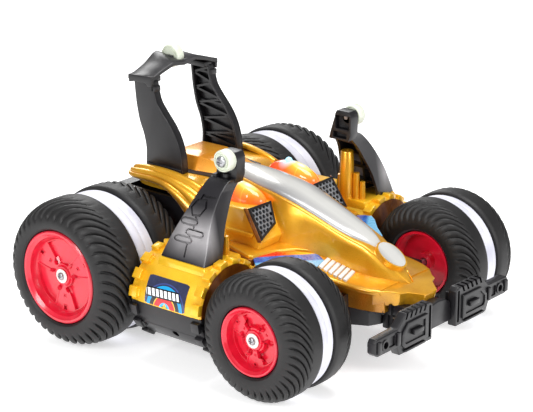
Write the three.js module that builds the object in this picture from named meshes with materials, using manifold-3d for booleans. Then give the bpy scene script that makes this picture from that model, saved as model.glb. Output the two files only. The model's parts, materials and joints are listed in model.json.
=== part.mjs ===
// A radio-controlled stunt car: four twin-tyre wheels on a wedge body, a roll bar and two side arms
// with rollers that carry the car when it rolls over.
//
// Millimetres. X points forward, Y to the car's left, Z up. Inside the file the rear axle is at X = 0
// and the ground at Z = 0; the group at the end moves the car so that its length is centred on X = 0.
import * as THREE from "three";
import { mergeVertices } from "three/addons/utils/BufferGeometryUtils.js";
import Module from "manifold-3d";

const wasm = await Module();
wasm.setup();

// ---------------------------------------------------------------------------------------------
// Driving dimensions
// ---------------------------------------------------------------------------------------------

const GAP = 0.3; // between pieces that touch
const WHEELBASE = 155;
const TRACK = 180; // between the middle planes of the wheels on one axle
const BUMPER_REACH = 66; // from the front axle to the face of the bumper

// A wheel is alike on both sides of its middle plane: half tyre, light ring, half tyre, on one hub.
const REAR_WHEEL = {
  radius: 50,
  halfWidth: 38, // from the middle plane to the rim
  crown: 31, // half width of the tread before it rounds off
  rim: 31.5, // radius of the hub barrel
  ringHalf: 8,
  ringRadius: 48,
};
const FRONT_WHEEL = {
  radius: 42,
  halfWidth: 28,
  crown: 21,
  rim: 22.5,
  ringHalf: 5.5,
  ringRadius: 40,
};
const TYRE_BULGE = 1.6; // how far the side of a tyre stands out past the rim
const DISH_DEPTH = 9;
const HUB_WALL = 2.5;
const HUB_BOSS = 6;
const HUB_SLOTS = 3;
const ROUND = 24; // segments of the wheels

const AXLE_RADIUS = 2.5;
const SCREW_RADIUS = 1.2;
const SCREW_BORE_DEPTH = 9;
const WASHER_RADIUS = 4.8;

const GEAR_MODULE = 1;
const DRIVE_TEETH = 24;
const PINION_TEETH = 8;
const GEAR_WIDTH = 6;
const GEAR_CLEARANCE = 0.4; // added to the centre distance
const MOTOR_RADIUS = 10;
const MOTOR_SHAFT = 1;

const WALL = 2.5; // body, tray, pods and arms
const FLOOR = 28; // underside of the tray
const SPLIT = 40; // where the tray meets the body shell
const HOUSING_TOP = 90; // top of the gearbox housing between the rear wheels
const HOUSING_CLEARANCE = 4.4; // between the housing and the inner rear tyres
const HOUSING_FRONT = 46;
const DECK_TOP = 101.5; // rear deck that the roll bar stands on

const POD_RADIUS = 31;
const POD_CLEARANCE = 2; // between a pod and the tyres in front and behind
const POD_Z = 44;
const POD_TEETH = 16;
const POD_TOOTH = 1; // height of the knobs on the pod flanges
const POD_FLANGE = 5;

const ARM_TOP_Z = 134.5;
const ROLLER_RADIUS = 7.2;
const ROLLER_WIDTH = 7;
const ROLLER_BORE = 1.8;
const POST_TOP = 107;

const BAR_DEPTH = 6.5;
const BAR_TOP = 162;
const CROSSBAR_THICK = 3.5;
const CROSSBAR_ROLLER_RADIUS = 8;

const BATTERY = { x: 57, length: 60, width: 30, height: 18 };
const DOOR = { x: 55, length: 66, width: 36, thick: 2 };
const BOARD = { x: 58, width: 44, thick: 1.6, z: 60 };
const DRAWN_WHEELBASE = 155; // the wheelbase that the tables of sections are drawn for
const SWITCH = { x: 32, length: 8, width: 5, travel: 4 };

// ---------------------------------------------------------------------------------------------
// Places worked out from the driving dimensions
// ---------------------------------------------------------------------------------------------

const REAR_AXLE = { x: 0, z: REAR_WHEEL.radius };
const FRONT_AXLE = { x: WHEELBASE, z: FRONT_WHEEL.radius };
const BUMPER_FACE = WHEELBASE + BUMPER_REACH;
const LENGTH = REAR_WHEEL.radius + BUMPER_FACE;
const GEAR_DISTANCE = (GEAR_MODULE * (DRIVE_TEETH + PINION_TEETH)) / 2 + GEAR_CLEARANCE;
const POD_REAR = REAR_WHEEL.radius + POD_CLEARANCE;
const POD_FRONT = WHEELBASE - FRONT_WHEEL.radius - POD_CLEARANCE;
const POD_LENGTH = POD_FRONT - POD_REAR;

const HOUSING_HALF = TRACK / 2 - REAR_WHEEL.halfWidth - TYRE_BULGE - HOUSING_CLEARANCE;
const BODY_HALF = HOUSING_HALF + 3; // half width of the body between the side pods
const TRAY_HALF = BODY_HALF - 1;
const GEAR_Y = HOUSING_HALF - 15; // inner face of the gears
const MOTOR_LENGTH = GEAR_Y - 6; // the two motors lie end to end between the gears
const BAR_OUTER_Y = BODY_HALF - 17; // outer faces of the roll-bar legs
const POD_Y = BODY_HALF + POD_RADIUS + 4;
const ROLLER_INNER_Y = POD_Y - 19.7;
const FRONT_ROOM = TRACK / 2 - FRONT_WHEEL.halfWidth - TYRE_BULGE; // beside the inner front tyres
const STUB_OUTER = FRONT_ROOM - 7.4; // outer face of the tray's axle bosses
const STUB_INNER = STUB_OUTER - 15;

// The place along the body, or along a pod, of something drawn at x.
const STRETCH = (WHEELBASE - HOUSING_FRONT) / (DRAWN_WHEELBASE - HOUSING_FRONT);
const alongBody = (x) => HOUSING_FRONT + (x - HOUSING_FRONT) * STRETCH;
const alongPod = (share) => POD_REAR + POD_LENGTH * share;
const ARM_TOP_X = alongPod(0.7017);

// ---------------------------------------------------------------------------------------------
// Materials
// ---------------------------------------------------------------------------------------------

const finish = (color, roughness, metalness = 0) =>
  new THREE.MeshStandardMaterial({ color, roughness, metalness });
const GOLD = finish(0xe8a317, 0.3, 0.7);
const BLACK = finish(0x2a282c, 0.5);
const RUBBER = finish(0x1d1d1f, 0.75);
const RED = finish(0xdd1f3c, 0.3);
const LIGHT_RING = finish(0xe9e8f2, 0.35);
const ROLLER_WHITE = finish(0xe6ebdc, 0.4);
const SILVER = finish(0xd9d9dc, 0.25, 0.4);
const STEEL = finish(0xa9abae, 0.35, 1);
const AMBER = finish(0xf2641c, 0.15);
const BLUE = finish(0x2fb5e8, 0.1);
const NYLON = finish(0xd8d3c2, 0.5);
const BOARD_GREEN = finish(0x1f6b3a, 0.5);
const BATTERY_BLUE = finish(0x2c4f9e, 0.4);

// ---------------------------------------------------------------------------------------------
// Solids
// ---------------------------------------------------------------------------------------------

function manifoldOf(positions, triangles) {
  return new wasm.Manifold(
    new wasm.Mesh({ numProp: 3, vertProperties: positions, triVerts: triangles }),
  );
}

// A closed geometry as a solid. One whose faces point inwards is turned the right way round.
function solid(geometry) {
  const bare = new THREE.BufferGeometry();
  bare.setAttribute("position", geometry.getAttribute("position").clone());
  bare.setIndex(geometry.index);
  const merged = mergeVertices(bare, 1e-3);
  const triangles = [];
  for (let i = 0; i < merged.index.count; i += 3) {
    const [a, b, c] = [0, 1, 2].map((k) => merged.index.getX(i + k));
    if (a !== b && b !== c && a !== c) triangles.push([a, b, c]);
  }
  const positions = merged.attributes.position.array;
  const made = manifoldOf(positions, new Uint32Array(triangles.flat()));
  if (made.volume() > 0) return made;
  return manifoldOf(positions, new Uint32Array(triangles.map(([a, b, c]) => [a, c, b]).flat()));
}

const join = (first, ...others) => others.reduce((sum, next) => sum.add(next), first);
const cut = (first, ...tools) => tools.reduce((rest, tool) => rest.subtract(tool), first);

// The mirror image of a body on the other side of the car.
function mirrored(body) {
  const made = body.getMesh();
  const positions = made.vertProperties.map((value, i) => (i % 3 === 1 ? -value : value));
  const triangles = new Uint32Array(made.triVerts.length);
  for (let i = 0; i < triangles.length; i += 3)
    triangles.set([made.triVerts[i], made.triVerts[i + 2], made.triVerts[i + 1]], i);
  return manifoldOf(positions, triangles);
}

// Turns a shape drawn in the XY plane so that its depth runs along the named axis.
const ALONG = {
  x: new THREE.Matrix4().set(0, 0, 1, 0, 1, 0, 0, 0, 0, 1, 0, 0, 0, 0, 0, 1),
  y: new THREE.Matrix4().set(1, 0, 0, 0, 0, 0, 1, 0, 0, 1, 0, 0, 0, 0, 0, 1),
  z: new THREE.Matrix4(),
};
const shapeOf = (points) => new THREE.Shape(points.map(([a, b]) => new THREE.Vector2(a, b)));

// An outline pushed along an axis from one place to another. Its points are the two other
// coordinates in the order x, y, z.
function prism(axis, outline, from, to) {
  const shape = outline instanceof THREE.Shape ? outline : shapeOf(outline);
  const geometry = new THREE.ExtrudeGeometry(shape, {
    depth: to - from,
    bevelEnabled: false,
    curveSegments: 12,
  });
  geometry.translate(0, 0, from).applyMatrix4(ALONG[axis]);
  return solid(geometry);
}

function box([x0, y0, z0], [x1, y1, z1]) {
  const geometry = new THREE.BoxGeometry(x1 - x0, y1 - y0, z1 - z0);
  return solid(geometry.translate((x0 + x1) / 2, (y0 + y1) / 2, (z0 + z1) / 2));
}

// A profile of [radius, place along the axis] turned about an axis through a point. One that
// doesn't start on the axis is a ring, and closes on itself.
function turned(axis, centre, profile, segments = 24) {
  const outline = profile[0][0] > 0 ? [...profile, profile[0]] : profile;
  const points = outline.map(([radius, along]) => new THREE.Vector2(radius, along));
  const geometry = new THREE.LatheGeometry(points, segments);
  if (axis === "x") geometry.rotateZ(-Math.PI / 2);
  if (axis === "z") geometry.rotateX(Math.PI / 2);
  return solid(geometry.translate(...centre));
}

const rod = (axis, centre, radius, from, to, segments = 24) =>
  turned(axis, centre, [[0, from], [radius, from], [radius, to], [0, to]], segments);

// The triangles that fill a ring, as places in the ring, turning the way the ring runs. They are
// found in the view along an axis in which the ring looks largest.
function capFaces(ring) {
  const seenAlong = (axis) => ring.map((p) => new THREE.Vector2(...p.filter((_, i) => i !== axis)));
  const size = (outline) => Math.abs(THREE.ShapeUtils.area(outline));
  const [flat] = [0, 1, 2].map(seenAlong).sort((a, b) => size(b) - size(a));
  const faces = THREE.ShapeUtils.triangulateShape(flat, []);
  const faceArea = THREE.ShapeUtils.area(faces[0].map((i) => flat[i]));
  const follows = faceArea > 0 === THREE.ShapeUtils.area(flat) > 0;
  return follows ? faces : faces.map(([a, b, c]) => [a, c, b]);
}

// Rings of points, each with as many points as the last, joined into one closed skin.
function loft(rings) {
  const count = rings[0].length;
  const triangles = [];
  for (let r = 0; r + 1 < rings.length; r++)
    for (let i = 0; i < count; i++) {
      const [a, b] = [r * count + i, r * count + ((i + 1) % count)];
      triangles.push(a, b, b + count, a, b + count, a + count);
    }
  const last = count * (rings.length - 1);
  for (const [a, b, c] of capFaces(rings[0])) triangles.push(a, c, b);
  for (const face of capFaces(rings.at(-1))) triangles.push(...face.map((i) => last + i));
  const geometry = new THREE.BufferGeometry();
  const positions = rings.flat(2);
  geometry.setAttribute("position", new THREE.Float32BufferAttribute(positions, 3));
  geometry.setIndex(triangles);
  return solid(geometry);
}

// A ring across the car from the corners of its left half, from the top edge to the bottom edge.
function mirroredRing(x, half) {
  const left = half.map(([y, z]) => [x, y, z]);
  const right = half.map(([y, z]) => [x, -y, z]).reverse();
  return [...left, ...right];
}

// ---------------------------------------------------------------------------------------------
// The car as a scene
// ---------------------------------------------------------------------------------------------

const car = new THREE.Group();
car.position.x = REAR_WHEEL.radius - LENGTH / 2;

function add(name, body, material) {
  const made = body.getMesh();
  const geometry = new THREE.BufferGeometry();
  geometry.setAttribute("position", new THREE.BufferAttribute(made.vertProperties, 3));
  geometry.setIndex(new THREE.BufferAttribute(made.triVerts, 1));
  geometry.computeVertexNormals();
  const mesh = new THREE.Mesh(geometry, material);
  mesh.name = name;
  car.add(mesh);
  return mesh;
}

// Adds a left-hand piece and its mirror image as two named meshes.
function addPair(name, body, material) {
  add(name + "_left", body, material);
  add(name + "_right", mirrored(body), material);
}

// ---------------------------------------------------------------------------------------------
// Wheels
// ---------------------------------------------------------------------------------------------

const boreOf = (wheel) => wheel.rim + GAP;
const dishFloor = (wheel) => wheel.halfWidth - DISH_DEPTH;
const bossFace = (wheel) => wheel.halfWidth - DISH_DEPTH / 2;

// One half tyre, from the light ring to the rim. side is 1 for the outer half, -1 for the inner.
function tyre(wheel, axle, side) {
  const bore = boreOf(wheel);
  const start = wheel.ringHalf + GAP;
  const { radius, halfWidth, crown } = wheel;
  const profile = [
    [bore, start],
    [bore, halfWidth],
    [(bore + radius) / 2, halfWidth + TYRE_BULGE],
    [radius - 4, (crown + halfWidth + TYRE_BULGE) / 2 + 1],
    [radius, crown],
    [radius, start + 3],
    [radius - 1.5, start],
  ];
  const centre = [axle.x, TRACK / 2, axle.z];
  return turned("y", centre, profile.map(([r, t]) => [r, side * t]), ROUND);
}

function lightRing(wheel, axle) {
  const bore = boreOf(wheel);
  const { ringRadius, ringHalf } = wheel;
  const profile = [
    [bore, -ringHalf],
    [ringRadius, -ringHalf],
    [ringRadius, ringHalf],
    [bore, ringHalf],
  ];
  return turned("y", [axle.x, TRACK / 2, axle.z], profile, ROUND);
}

// The hub is a drum dished on both sides; slots in its two floors open its hollow middle.
function hub(wheel, axle) {
  const centre = [axle.x, TRACK / 2, axle.z];
  const { rim, halfWidth } = wheel;
  const bore = AXLE_RADIUS + GAP;
  const floor = dishFloor(wheel);
  const boss = bossFace(wheel);
  const half = [
    [bore, boss],
    [HUB_BOSS, boss],
    [HUB_BOSS, floor],
    [rim - HUB_WALL, floor],
    [rim - HUB_WALL, halfWidth],
    [rim, halfWidth],
  ];
  const outside = [...half, ...half.map(([r, t]) => [r, -t]).reverse()];
  const inner = floor - HUB_WALL;
  const hollow = [
    [HUB_BOSS, -inner],
    [rim - HUB_WALL, -inner],
    [rim - HUB_WALL, inner],
    [HUB_BOSS, inner],
  ];
  const body = cut(turned("y", centre, outside, ROUND), turned("y", centre, hollow, ROUND));
  const slots = [];
  const slotRadius = (HUB_BOSS + rim - HUB_WALL) / 2;
  const slotSize = (rim - HUB_WALL - HUB_BOSS) / 2;
  for (let i = 0; i < HUB_SLOTS; i++) {
    const slot = new THREE.BoxGeometry(slotSize, 2 * halfWidth, slotSize / 2);
    slot.translate(slotRadius, 0, 0).rotateY((2 * Math.PI * i) / HUB_SLOTS + Math.PI / 2);
    slots.push(solid(slot.translate(...centre)));
  }
  return cut(body, ...slots);
}

// A pan-head screw with its washer, driven into the end of an axle.
function axleScrew(wheel, axle) {
  const face = bossFace(wheel) + GAP;
  const profile = [
    [0, face - SCREW_BORE_DEPTH + GAP],
    [SCREW_RADIUS, face - SCREW_BORE_DEPTH + GAP],
    [SCREW_RADIUS, face],
    [WASHER_RADIUS, face],
    [WASHER_RADIUS, face + 1],
    [3, face + 1],
    [2.4, face + 2.6],
    [0, face + 2.8],
  ];
  return turned("y", [axle.x, TRACK / 2, axle.z], profile, 12);
}

// An axle from a place near the middle of the car to the outer boss of the wheel, bored for its screw.
function axleShaft(wheel, axle, innerEnd) {
  const outerEnd = TRACK / 2 + bossFace(wheel) - GAP;
  const bore = SCREW_RADIUS + GAP;
  const profile = [
    [0, innerEnd],
    [AXLE_RADIUS, innerEnd],
    [AXLE_RADIUS, outerEnd],
    [bore, outerEnd],
    [bore, outerEnd - SCREW_BORE_DEPTH],
    [0, outerEnd - SCREW_BORE_DEPTH],
  ];
  return turned("y", [axle.x, 0, axle.z], profile, 16);
}

const HALF_SHAFT_INNER = 4;
for (const [place, wheel, axle] of [
  ["rear", REAR_WHEEL, REAR_AXLE],
  ["front", FRONT_WHEEL, FRONT_AXLE],
]) {
  addPair(place + "_tyre_outer", tyre(wheel, axle, 1), RUBBER);
  addPair(place + "_tyre_inner", tyre(wheel, axle, -1), RUBBER);
  addPair(place + "_light_ring", lightRing(wheel, axle), LIGHT_RING);
  addPair(place + "_hub", hub(wheel, axle), RED);
  addPair(place + "_axle_screw", axleScrew(wheel, axle), STEEL);
}
addPair("rear_half_shaft", axleShaft(REAR_WHEEL, REAR_AXLE, HALF_SHAFT_INNER), STEEL);
addPair("front_stub_axle", axleShaft(FRONT_WHEEL, FRONT_AXLE, STUB_INNER), STEEL);

// ---------------------------------------------------------------------------------------------
// Drive: a motor, its pinion and a gear on the half shaft for each rear wheel
// ---------------------------------------------------------------------------------------------

function gear(teeth, bore, phase, centre) {
  const pitch = (GEAR_MODULE * teeth) / 2;
  const [root, tip] = [pitch - 1.25 * GEAR_MODULE, pitch + GEAR_MODULE];
  const step = (2 * Math.PI) / teeth;
  const shape = new THREE.Shape();
  for (let i = 0; i < teeth; i++)
    for (const [radius, share] of [[root, -0.28], [tip, -0.12], [tip, 0.12], [root, 0.28]]) {
      const angle = phase + step * (i + share);
      const point = [centre.x + radius * Math.cos(angle), centre.z + radius * Math.sin(angle)];
      if (i === 0 && share === -0.28) shape.moveTo(...point);
      else shape.lineTo(...point);
    }
  const made = prism("y", shape, GEAR_Y, GEAR_Y + GEAR_WIDTH);
  return bore ? cut(made, rod("y", [centre.x, 0, centre.z], bore, 0, TRACK, 16)) : made;
}

const MOTOR = { x: REAR_AXLE.x + GEAR_DISTANCE, z: REAR_AXLE.z };
const MOTOR_END = GEAR_Y - 1.5;
const motorBore = MOTOR_SHAFT + GAP;
const motorProfile = [
  [0, MOTOR_END - MOTOR_LENGTH],
  [MOTOR_RADIUS, MOTOR_END - MOTOR_LENGTH],
  [MOTOR_RADIUS, MOTOR_END - 1.5],
  [3, MOTOR_END - 1.5],
  [3, MOTOR_END],
  [motorBore, MOTOR_END],
  [motorBore, MOTOR_END - 8],
  [0, MOTOR_END - 8],
];
addPair("drive_motor", turned("y", [MOTOR.x, 0, MOTOR.z], motorProfile, 20), STEEL);

const pinion = gear(PINION_TEETH, 0, Math.PI / PINION_TEETH, MOTOR);
const pinionShaft = rod("y", [MOTOR.x, 0, MOTOR.z], MOTOR_SHAFT, MOTOR_END - 7.5, GEAR_Y + 1, 12);
addPair("motor_pinion", join(pinion, pinionShaft), NYLON);
addPair("drive_gear", gear(DRIVE_TEETH, AXLE_RADIUS + GAP, 0, REAR_AXLE), NYLON);

// ---------------------------------------------------------------------------------------------
// Lower tray: front pan, battery bay and the gearbox housing between the rear wheels
// ---------------------------------------------------------------------------------------------

const NOSE_X = FRONT_AXLE.x + 53; // tip of the nose
const TRAY_FRONT = FRONT_AXLE.x + 24;
const HOUSING_REAR = -24;

// Half outline of the pan seen from above, from back to front.
const panOutline = (inset) => [
  [HOUSING_FRONT - 1, TRAY_HALF - inset],
  [POD_FRONT + 3, TRAY_HALF - inset],
  [FRONT_AXLE.x - 15, TRAY_HALF - 10 - inset],
  [FRONT_AXLE.x + 8, 28 - inset],
  [TRAY_FRONT - 4 - inset / 2, 22 - inset],
  [TRAY_FRONT - inset, 14 - inset],
];
const bothSides = (half) => [...half, ...half.map(([x, y]) => [x, -y]).reverse()];

function lowerTray() {
  const pan = prism("z", bothSides(panOutline(0)), FLOOR, SPLIT - GAP);
  const housing = box(
    [HOUSING_REAR, -HOUSING_HALF, FLOOR],
    [HOUSING_FRONT, HOUSING_HALF, HOUSING_TOP],
  );
  const chamfer = prism(
    "y",
    [
      [HOUSING_REAR - 1, FLOOR - 1],
      [HOUSING_REAR + 9, FLOOR - 1],
      [HOUSING_REAR - 1, FLOOR + 12],
    ],
    -HOUSING_HALF - 1,
    HOUSING_HALF + 1,
  );
  const panHollow = prism("z", bothSides(panOutline(WALL)), FLOOR + WALL, SPLIT + 1);
  const housingHollow = box(
    [HOUSING_REAR + 9, WALL - HOUSING_HALF, FLOOR + WALL],
    [HOUSING_FRONT - WALL, HOUSING_HALF - WALL, HOUSING_TOP + 1],
  );
  const passage = box(
    [HOUSING_FRONT - 2 * WALL, -15, FLOOR + WALL],
    [HOUSING_FRONT + 2 * WALL, 15, SPLIT - 3],
  );
  const stubBoss = box(
    [FRONT_AXLE.x - 8, STUB_INNER - 16, FLOOR],
    [FRONT_AXLE.x + 8, STUB_OUTER, FRONT_AXLE.z + 7],
  );
  const bothBosses = [stubBoss, mirrored(stubBoss)];
  const motorCradle = box(
    [MOTOR.x - 8, 9 - GEAR_Y, FLOOR],
    [MOTOR.x + 8, GEAR_Y - 9, MOTOR.z - MOTOR_RADIUS - GAP],
  );
  const hollowed = cut(join(pan, housing), chamfer, panHollow, housingHollow, passage);
  return cut(
    join(hollowed, ...bothBosses, motorCradle),
    rod("y", [REAR_AXLE.x, 0, REAR_AXLE.z], AXLE_RADIUS + GAP, -TRACK, TRACK),
    rod("y", [FRONT_AXLE.x, 0, FRONT_AXLE.z], AXLE_RADIUS + GAP, STUB_INNER - GAP, TRACK),
    rod("y", [FRONT_AXLE.x, 0, FRONT_AXLE.z], AXLE_RADIUS + GAP, -TRACK, GAP - STUB_INNER),
    box(
      [DOOR.x - GAP, -DOOR.width / 2 - GAP, FLOOR - 1],
      [DOOR.x + DOOR.length + GAP, DOOR.width / 2 + GAP, FLOOR + WALL + 1],
    ),
    box(
      [SWITCH.x - GAP, -SWITCH.width / 2 - GAP, FLOOR - 1],
      [SWITCH.x + SWITCH.length + SWITCH.travel + GAP, SWITCH.width / 2 + GAP, FLOOR + WALL + 1],
    ),
  );
}
add("lower_tray", lowerTray(), BLACK);

add(
  "battery_door",
  box(
    [DOOR.x, -DOOR.width / 2, FLOOR],
    [DOOR.x + DOOR.length, DOOR.width / 2, FLOOR + DOOR.thick],
  ),
  BLACK,
);
const BATTERY_Z = FLOOR + WALL + GAP;
add(
  "battery_pack",
  box(
    [BATTERY.x, -BATTERY.width / 2, BATTERY_Z],
    [BATTERY.x + BATTERY.length, BATTERY.width / 2, BATTERY_Z + BATTERY.height],
  ),
  BATTERY_BLUE,
);
const boardFront = alongBody(103);
add(
  "circuit_board",
  box(
    [BOARD.x, -BOARD.width / 2, BOARD.z],
    [boardFront, BOARD.width / 2, BOARD.z + BOARD.thick],
  ),
  BOARD_GREEN,
);
add(
  "power_switch",
  box(
    [SWITCH.x, -SWITCH.width / 2, FLOOR - 1.5],
    [SWITCH.x + SWITCH.length, SWITCH.width / 2, FLOOR + WALL],
  ),
  BLACK,
);

// ---------------------------------------------------------------------------------------------
// Body shell
// ---------------------------------------------------------------------------------------------

// Fuselage with the canopy strip along its top, from back to front: [x, height of the canopy's
// edge, half width of the canopy, of the fuselage's top and of its foot]. The strip ends where its
// width does.
const SPINE = [
  [HOUSING_FRONT + 1, 106.6, 0, 12, 24],
  [50, 105, 7, 12, 24],
  [56, 104, 11, 14, 23],
  [78, 101.7, 15.3, 17.5, 21.5],
  [92, 99.6, 15.7, 18, 21.5],
  [105, 96.5, 15.2, 17.5, 21.5],
  [117, 92.6, 14.3, 16.5, 20],
  [129, 88.3, 13.3, 15.5, 18],
  [140, 84.2, 12.3, 14.5, 17],
  [151, 80.6, 9.5, 12, 16.5],
  [158, 78.6, 5.5, 10, 15.5],
  [161, 77.8, 1.5, 9, 15],
  [172, 72.5, 0, 6.5, 12],
  [184, 63.5, 0, 3.5, 7],
  [193, 56.5, 0, 1.5, 3],
].map(([x, ...sizes]) => [alongBody(x), ...sizes]);
const CANOPY_CROWN = 3;
const CANOPY_SEAT = 1; // depth of the recess that the canopy lies in
const FUSELAGE_FOOT = 54;

// Deck with its lip and skirt: [x, half width of the lip, its height, height of the skirt's foot].
const DECK = [
  [HOUSING_FRONT + GAP, BODY_HALF, 67, SPLIT],
  [POD_FRONT, BODY_HALF, 67, SPLIT],
  [POD_FRONT + 1, FRONT_ROOM + 1.6, 66.5, SPLIT],
  [POD_FRONT + 6, FRONT_ROOM - 0.4, 66, SPLIT],
  [FRONT_AXLE.x - 27, FRONT_ROOM - 9.4, 65, SPLIT],
  [FRONT_AXLE.x - 15, 42, 63, SPLIT],
  [FRONT_AXLE.x - 5, 37, 60, SPLIT],
  [FRONT_AXLE.x + 5, 34.5, 58, SPLIT],
  [FRONT_AXLE.x + 17, 33, 57, SPLIT],
  [FRONT_AXLE.x + 27, 30, 56.3, SPLIT],
  [FRONT_AXLE.x + 32, 28, 56, SPLIT],
  [FRONT_AXLE.x + 33, 27, 56, 45],
  [FRONT_AXLE.x + 41, 19, 55.5, 45],
  [FRONT_AXLE.x + 45, 13.5, 55, 45],
  [NOSE_X, 5.5, 52.5, 45],
];
const LIP = 3;

function deckRing([x, half, top, foot]) {
  const skirt = Math.max(half - 5, half * 0.7);
  const narrow = Math.min(skirt, BODY_HALF - 5);
  return mirroredRing(x, [
    [half - 1, top],
    [half, top - 1],
    [half - 1, top - LIP],
    [narrow, top - LIP - 1.5],
    [narrow - 1, foot],
  ]);
}

// The rear deck with the fairings that lean out over the inner rear tyres.
const REAR_DECK = [
  [-20, BODY_HALF - 19, 97, 99],
  [-12, BODY_HALF - 5, 95, DECK_TOP],
  [4, BODY_HALF, 94, DECK_TOP],
  [34, BODY_HALF, 92, DECK_TOP],
  [44, BODY_HALF, 92, 100],
  [48.5, BODY_HALF - 4, 92, 97],
];
const rearRing = ([x, half, edge, top]) =>
  mirroredRing(x, [
    [half - 4, top],
    [half, (edge + top) / 2],
    [half - 4, edge],
    [half - 6, HOUSING_TOP + GAP],
  ]);

// The hump between the roll-bar legs: [x, half width of its top, height].
const HUMP_SLOPE = 7; // how far its foot stands out past its top
const HUMP_HALF = BAR_OUTER_Y - BAR_DEPTH - HUMP_SLOPE - 2;
const HUMP = [
  [-16, HUMP_HALF * 0.67, 103],
  [4, HUMP_HALF, 110],
  [30, HUMP_HALF, 110],
  [48, HUMP_HALF * 0.67, 106],
];

const INTAKE = {
  inner: 21,
  outer: BODY_HALF - 4,
  top: [alongBody(91.5), 95],
  bottom: [alongBody(103.8), 75.5],
};
const WEDGE_TOP = 71.5;
const WINDOW = { x: alongBody(175.5), z: 71.3, halfLength: 10.5, halfWidth: 8, thick: 2.4 };

// The oval window lies along the slope of the nose.
const windowTilt = Math.atan2(77.8 - 63.5, (184 - 161) * STRETCH);
function windowOval(grow, from, to) {
  const shape = new THREE.Shape();
  shape.absellipse(0, 0, WINDOW.halfLength + grow, WINDOW.halfWidth + grow, 0, 2 * Math.PI);
  const geometry = new THREE.ExtrudeGeometry(shape, {
    depth: to - from,
    bevelEnabled: false,
    curveSegments: 24,
  });
  geometry.translate(0, 0, from).rotateY(windowTilt).translate(WINDOW.x, 0, WINDOW.z);
  return solid(geometry);
}

function bodyShell() {
  const fuselage = loft(
    SPINE.map(([x, z, , top, foot]) => {
      const seat = z - CANOPY_SEAT;
      return mirroredRing(x, [
        [top - 1, seat],
        [top + 0.5, seat - 1],
        [top + (foot - top) * 0.45, z - (z - FUSELAGE_FOOT) * 0.35],
        [foot, FUSELAGE_FOOT],
      ]);
    }),
  );
  const deck = loft(DECK.map(deckRing));
  const rear = loft(REAR_DECK.map(rearRing));
  const hump = loft(
    HUMP.map(([x, half, top]) =>
      mirroredRing(x, [
        [half, top],
        [half + HUMP_SLOPE, DECK_TOP - 2],
      ]),
    ),
  );
  const [topX, topZ] = INTAKE.top;
  const [bottomX, bottomZ] = INTAKE.bottom;
  const shoulder = prism(
    "y",
    [
      [HOUSING_FRONT + GAP, 60],
      [bottomX + 4.2, 60],
      [bottomX + 4.2, bottomZ - 4],
      [bottomX, bottomZ],
      [topX, topZ],
      [52, topZ],
      [HOUSING_FRONT + GAP, topZ],
    ],
    -INTAKE.outer,
    INTAKE.outer,
  );
  const wedge = prism(
    "z",
    bothSides([
      [alongBody(82), BODY_HALF + 3],
      [alongBody(105), BODY_HALF + 9],
      [alongBody(108), BODY_HALF - 10],
      [alongBody(117), 25],
      [alongBody(131), 15],
    ]),
    64,
    WEDGE_TOP,
  );
  const shoulderHollow = prism(
    "y",
    [
      [HOUSING_FRONT + GAP + WALL, SPLIT - 1],
      [bottomX + 0.2, SPLIT - 1],
      [bottomX + 0.2, bottomZ - 6],
      [bottomX - 4, bottomZ - 1],
      [topX - 2, topZ - WALL],
      [54, topZ - WALL],
      [HOUSING_FRONT + GAP + WALL, topZ - WALL],
    ],
    5 - INTAKE.outer,
    INTAKE.outer - 5,
  );
  const skirtInside = BODY_HALF - 11;
  const rearHollow = box(
    [-14, -skirtInside, HOUSING_TOP - 1],
    [48, skirtInside, DECK_TOP - 4],
  );
  const lowerHollow = prism(
    "z",
    bothSides([
      [POD_FRONT - 11, skirtInside],
      [POD_FRONT + 3, skirtInside],
      [FRONT_AXLE.x - 12, skirtInside - 8],
      [FRONT_AXLE.x + 12, 22],
      [FRONT_AXLE.x + 24, 18],
    ]),
    SPLIT - 1,
    53,
  );
  const noseHollow = loft(
    [
      [100, 12, 90],
      [129, 11, 82],
      [151, 9, 73],
      [169, 7, 62],
    ].map(([x, half, top]) =>
      mirroredRing(alongBody(x), [
        [half, top],
        [half + 1, 50],
      ]),
    ),
  );
  const bossSpace = box(
    [FRONT_AXLE.x - 8 - GAP, -60, SPLIT - 1],
    [FRONT_AXLE.x + 8 + GAP, 60, FRONT_AXLE.z + 7 + GAP],
  );
  return cut(
    join(fuselage, deck, rear, hump, shoulder, wedge),
    shoulderHollow,
    rearHollow,
    lowerHollow,
    noseHollow,
    bossSpace,
    windowOval(GAP, -WINDOW.thick - GAP, 10),
  );
}
add("body_shell", bodyShell(), GOLD);

const canopyRows = SPINE.filter(([, , half]) => half > 0);
const canopy = loft(
  canopyRows.map(([x, z, half]) => {
    const crown = CANOPY_CROWN * Math.min(1, half / 12);
    return mirroredRing(x, [
      [half * 0.15, z + crown],
      [half * 0.7, z + crown * 0.6],
      [half, z],
      [half, z + GAP - CANOPY_SEAT],
    ]);
  }),
);
add("canopy", canopy, SILVER);
add("nose_window", windowOval(0, -WINDOW.thick, 0.8), SILVER);

// A mesh screen in front of each intake, parallel to its slanted face.
const GRILLE_THICK = 1.5;
const grilleOutline = [
  [INTAKE.inner, INTAKE.top[1]],
  [INTAKE.outer - 0.6, INTAKE.top[1]],
  [INTAKE.outer - 0.6, INTAKE.bottom[1]],
  [INTAKE.inner + (INTAKE.outer - INTAKE.inner) * 0.19, INTAKE.bottom[1] + 7],
];
const slope = (INTAKE.top[0] - INTAKE.bottom[0]) / (INTAKE.top[1] - INTAKE.bottom[1]);
const screenX = (z, off) => INTAKE.bottom[0] + slope * (z - INTAKE.bottom[1]) + off;
const screen = loft(
  [GAP + 0.2, GAP + 0.2 + GRILLE_THICK].map((off) =>
    grilleOutline.map(([y, z]) => [screenX(z, off), y, z]),
  ),
);
addPair("intake_grille", screen, BLACK);

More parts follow.
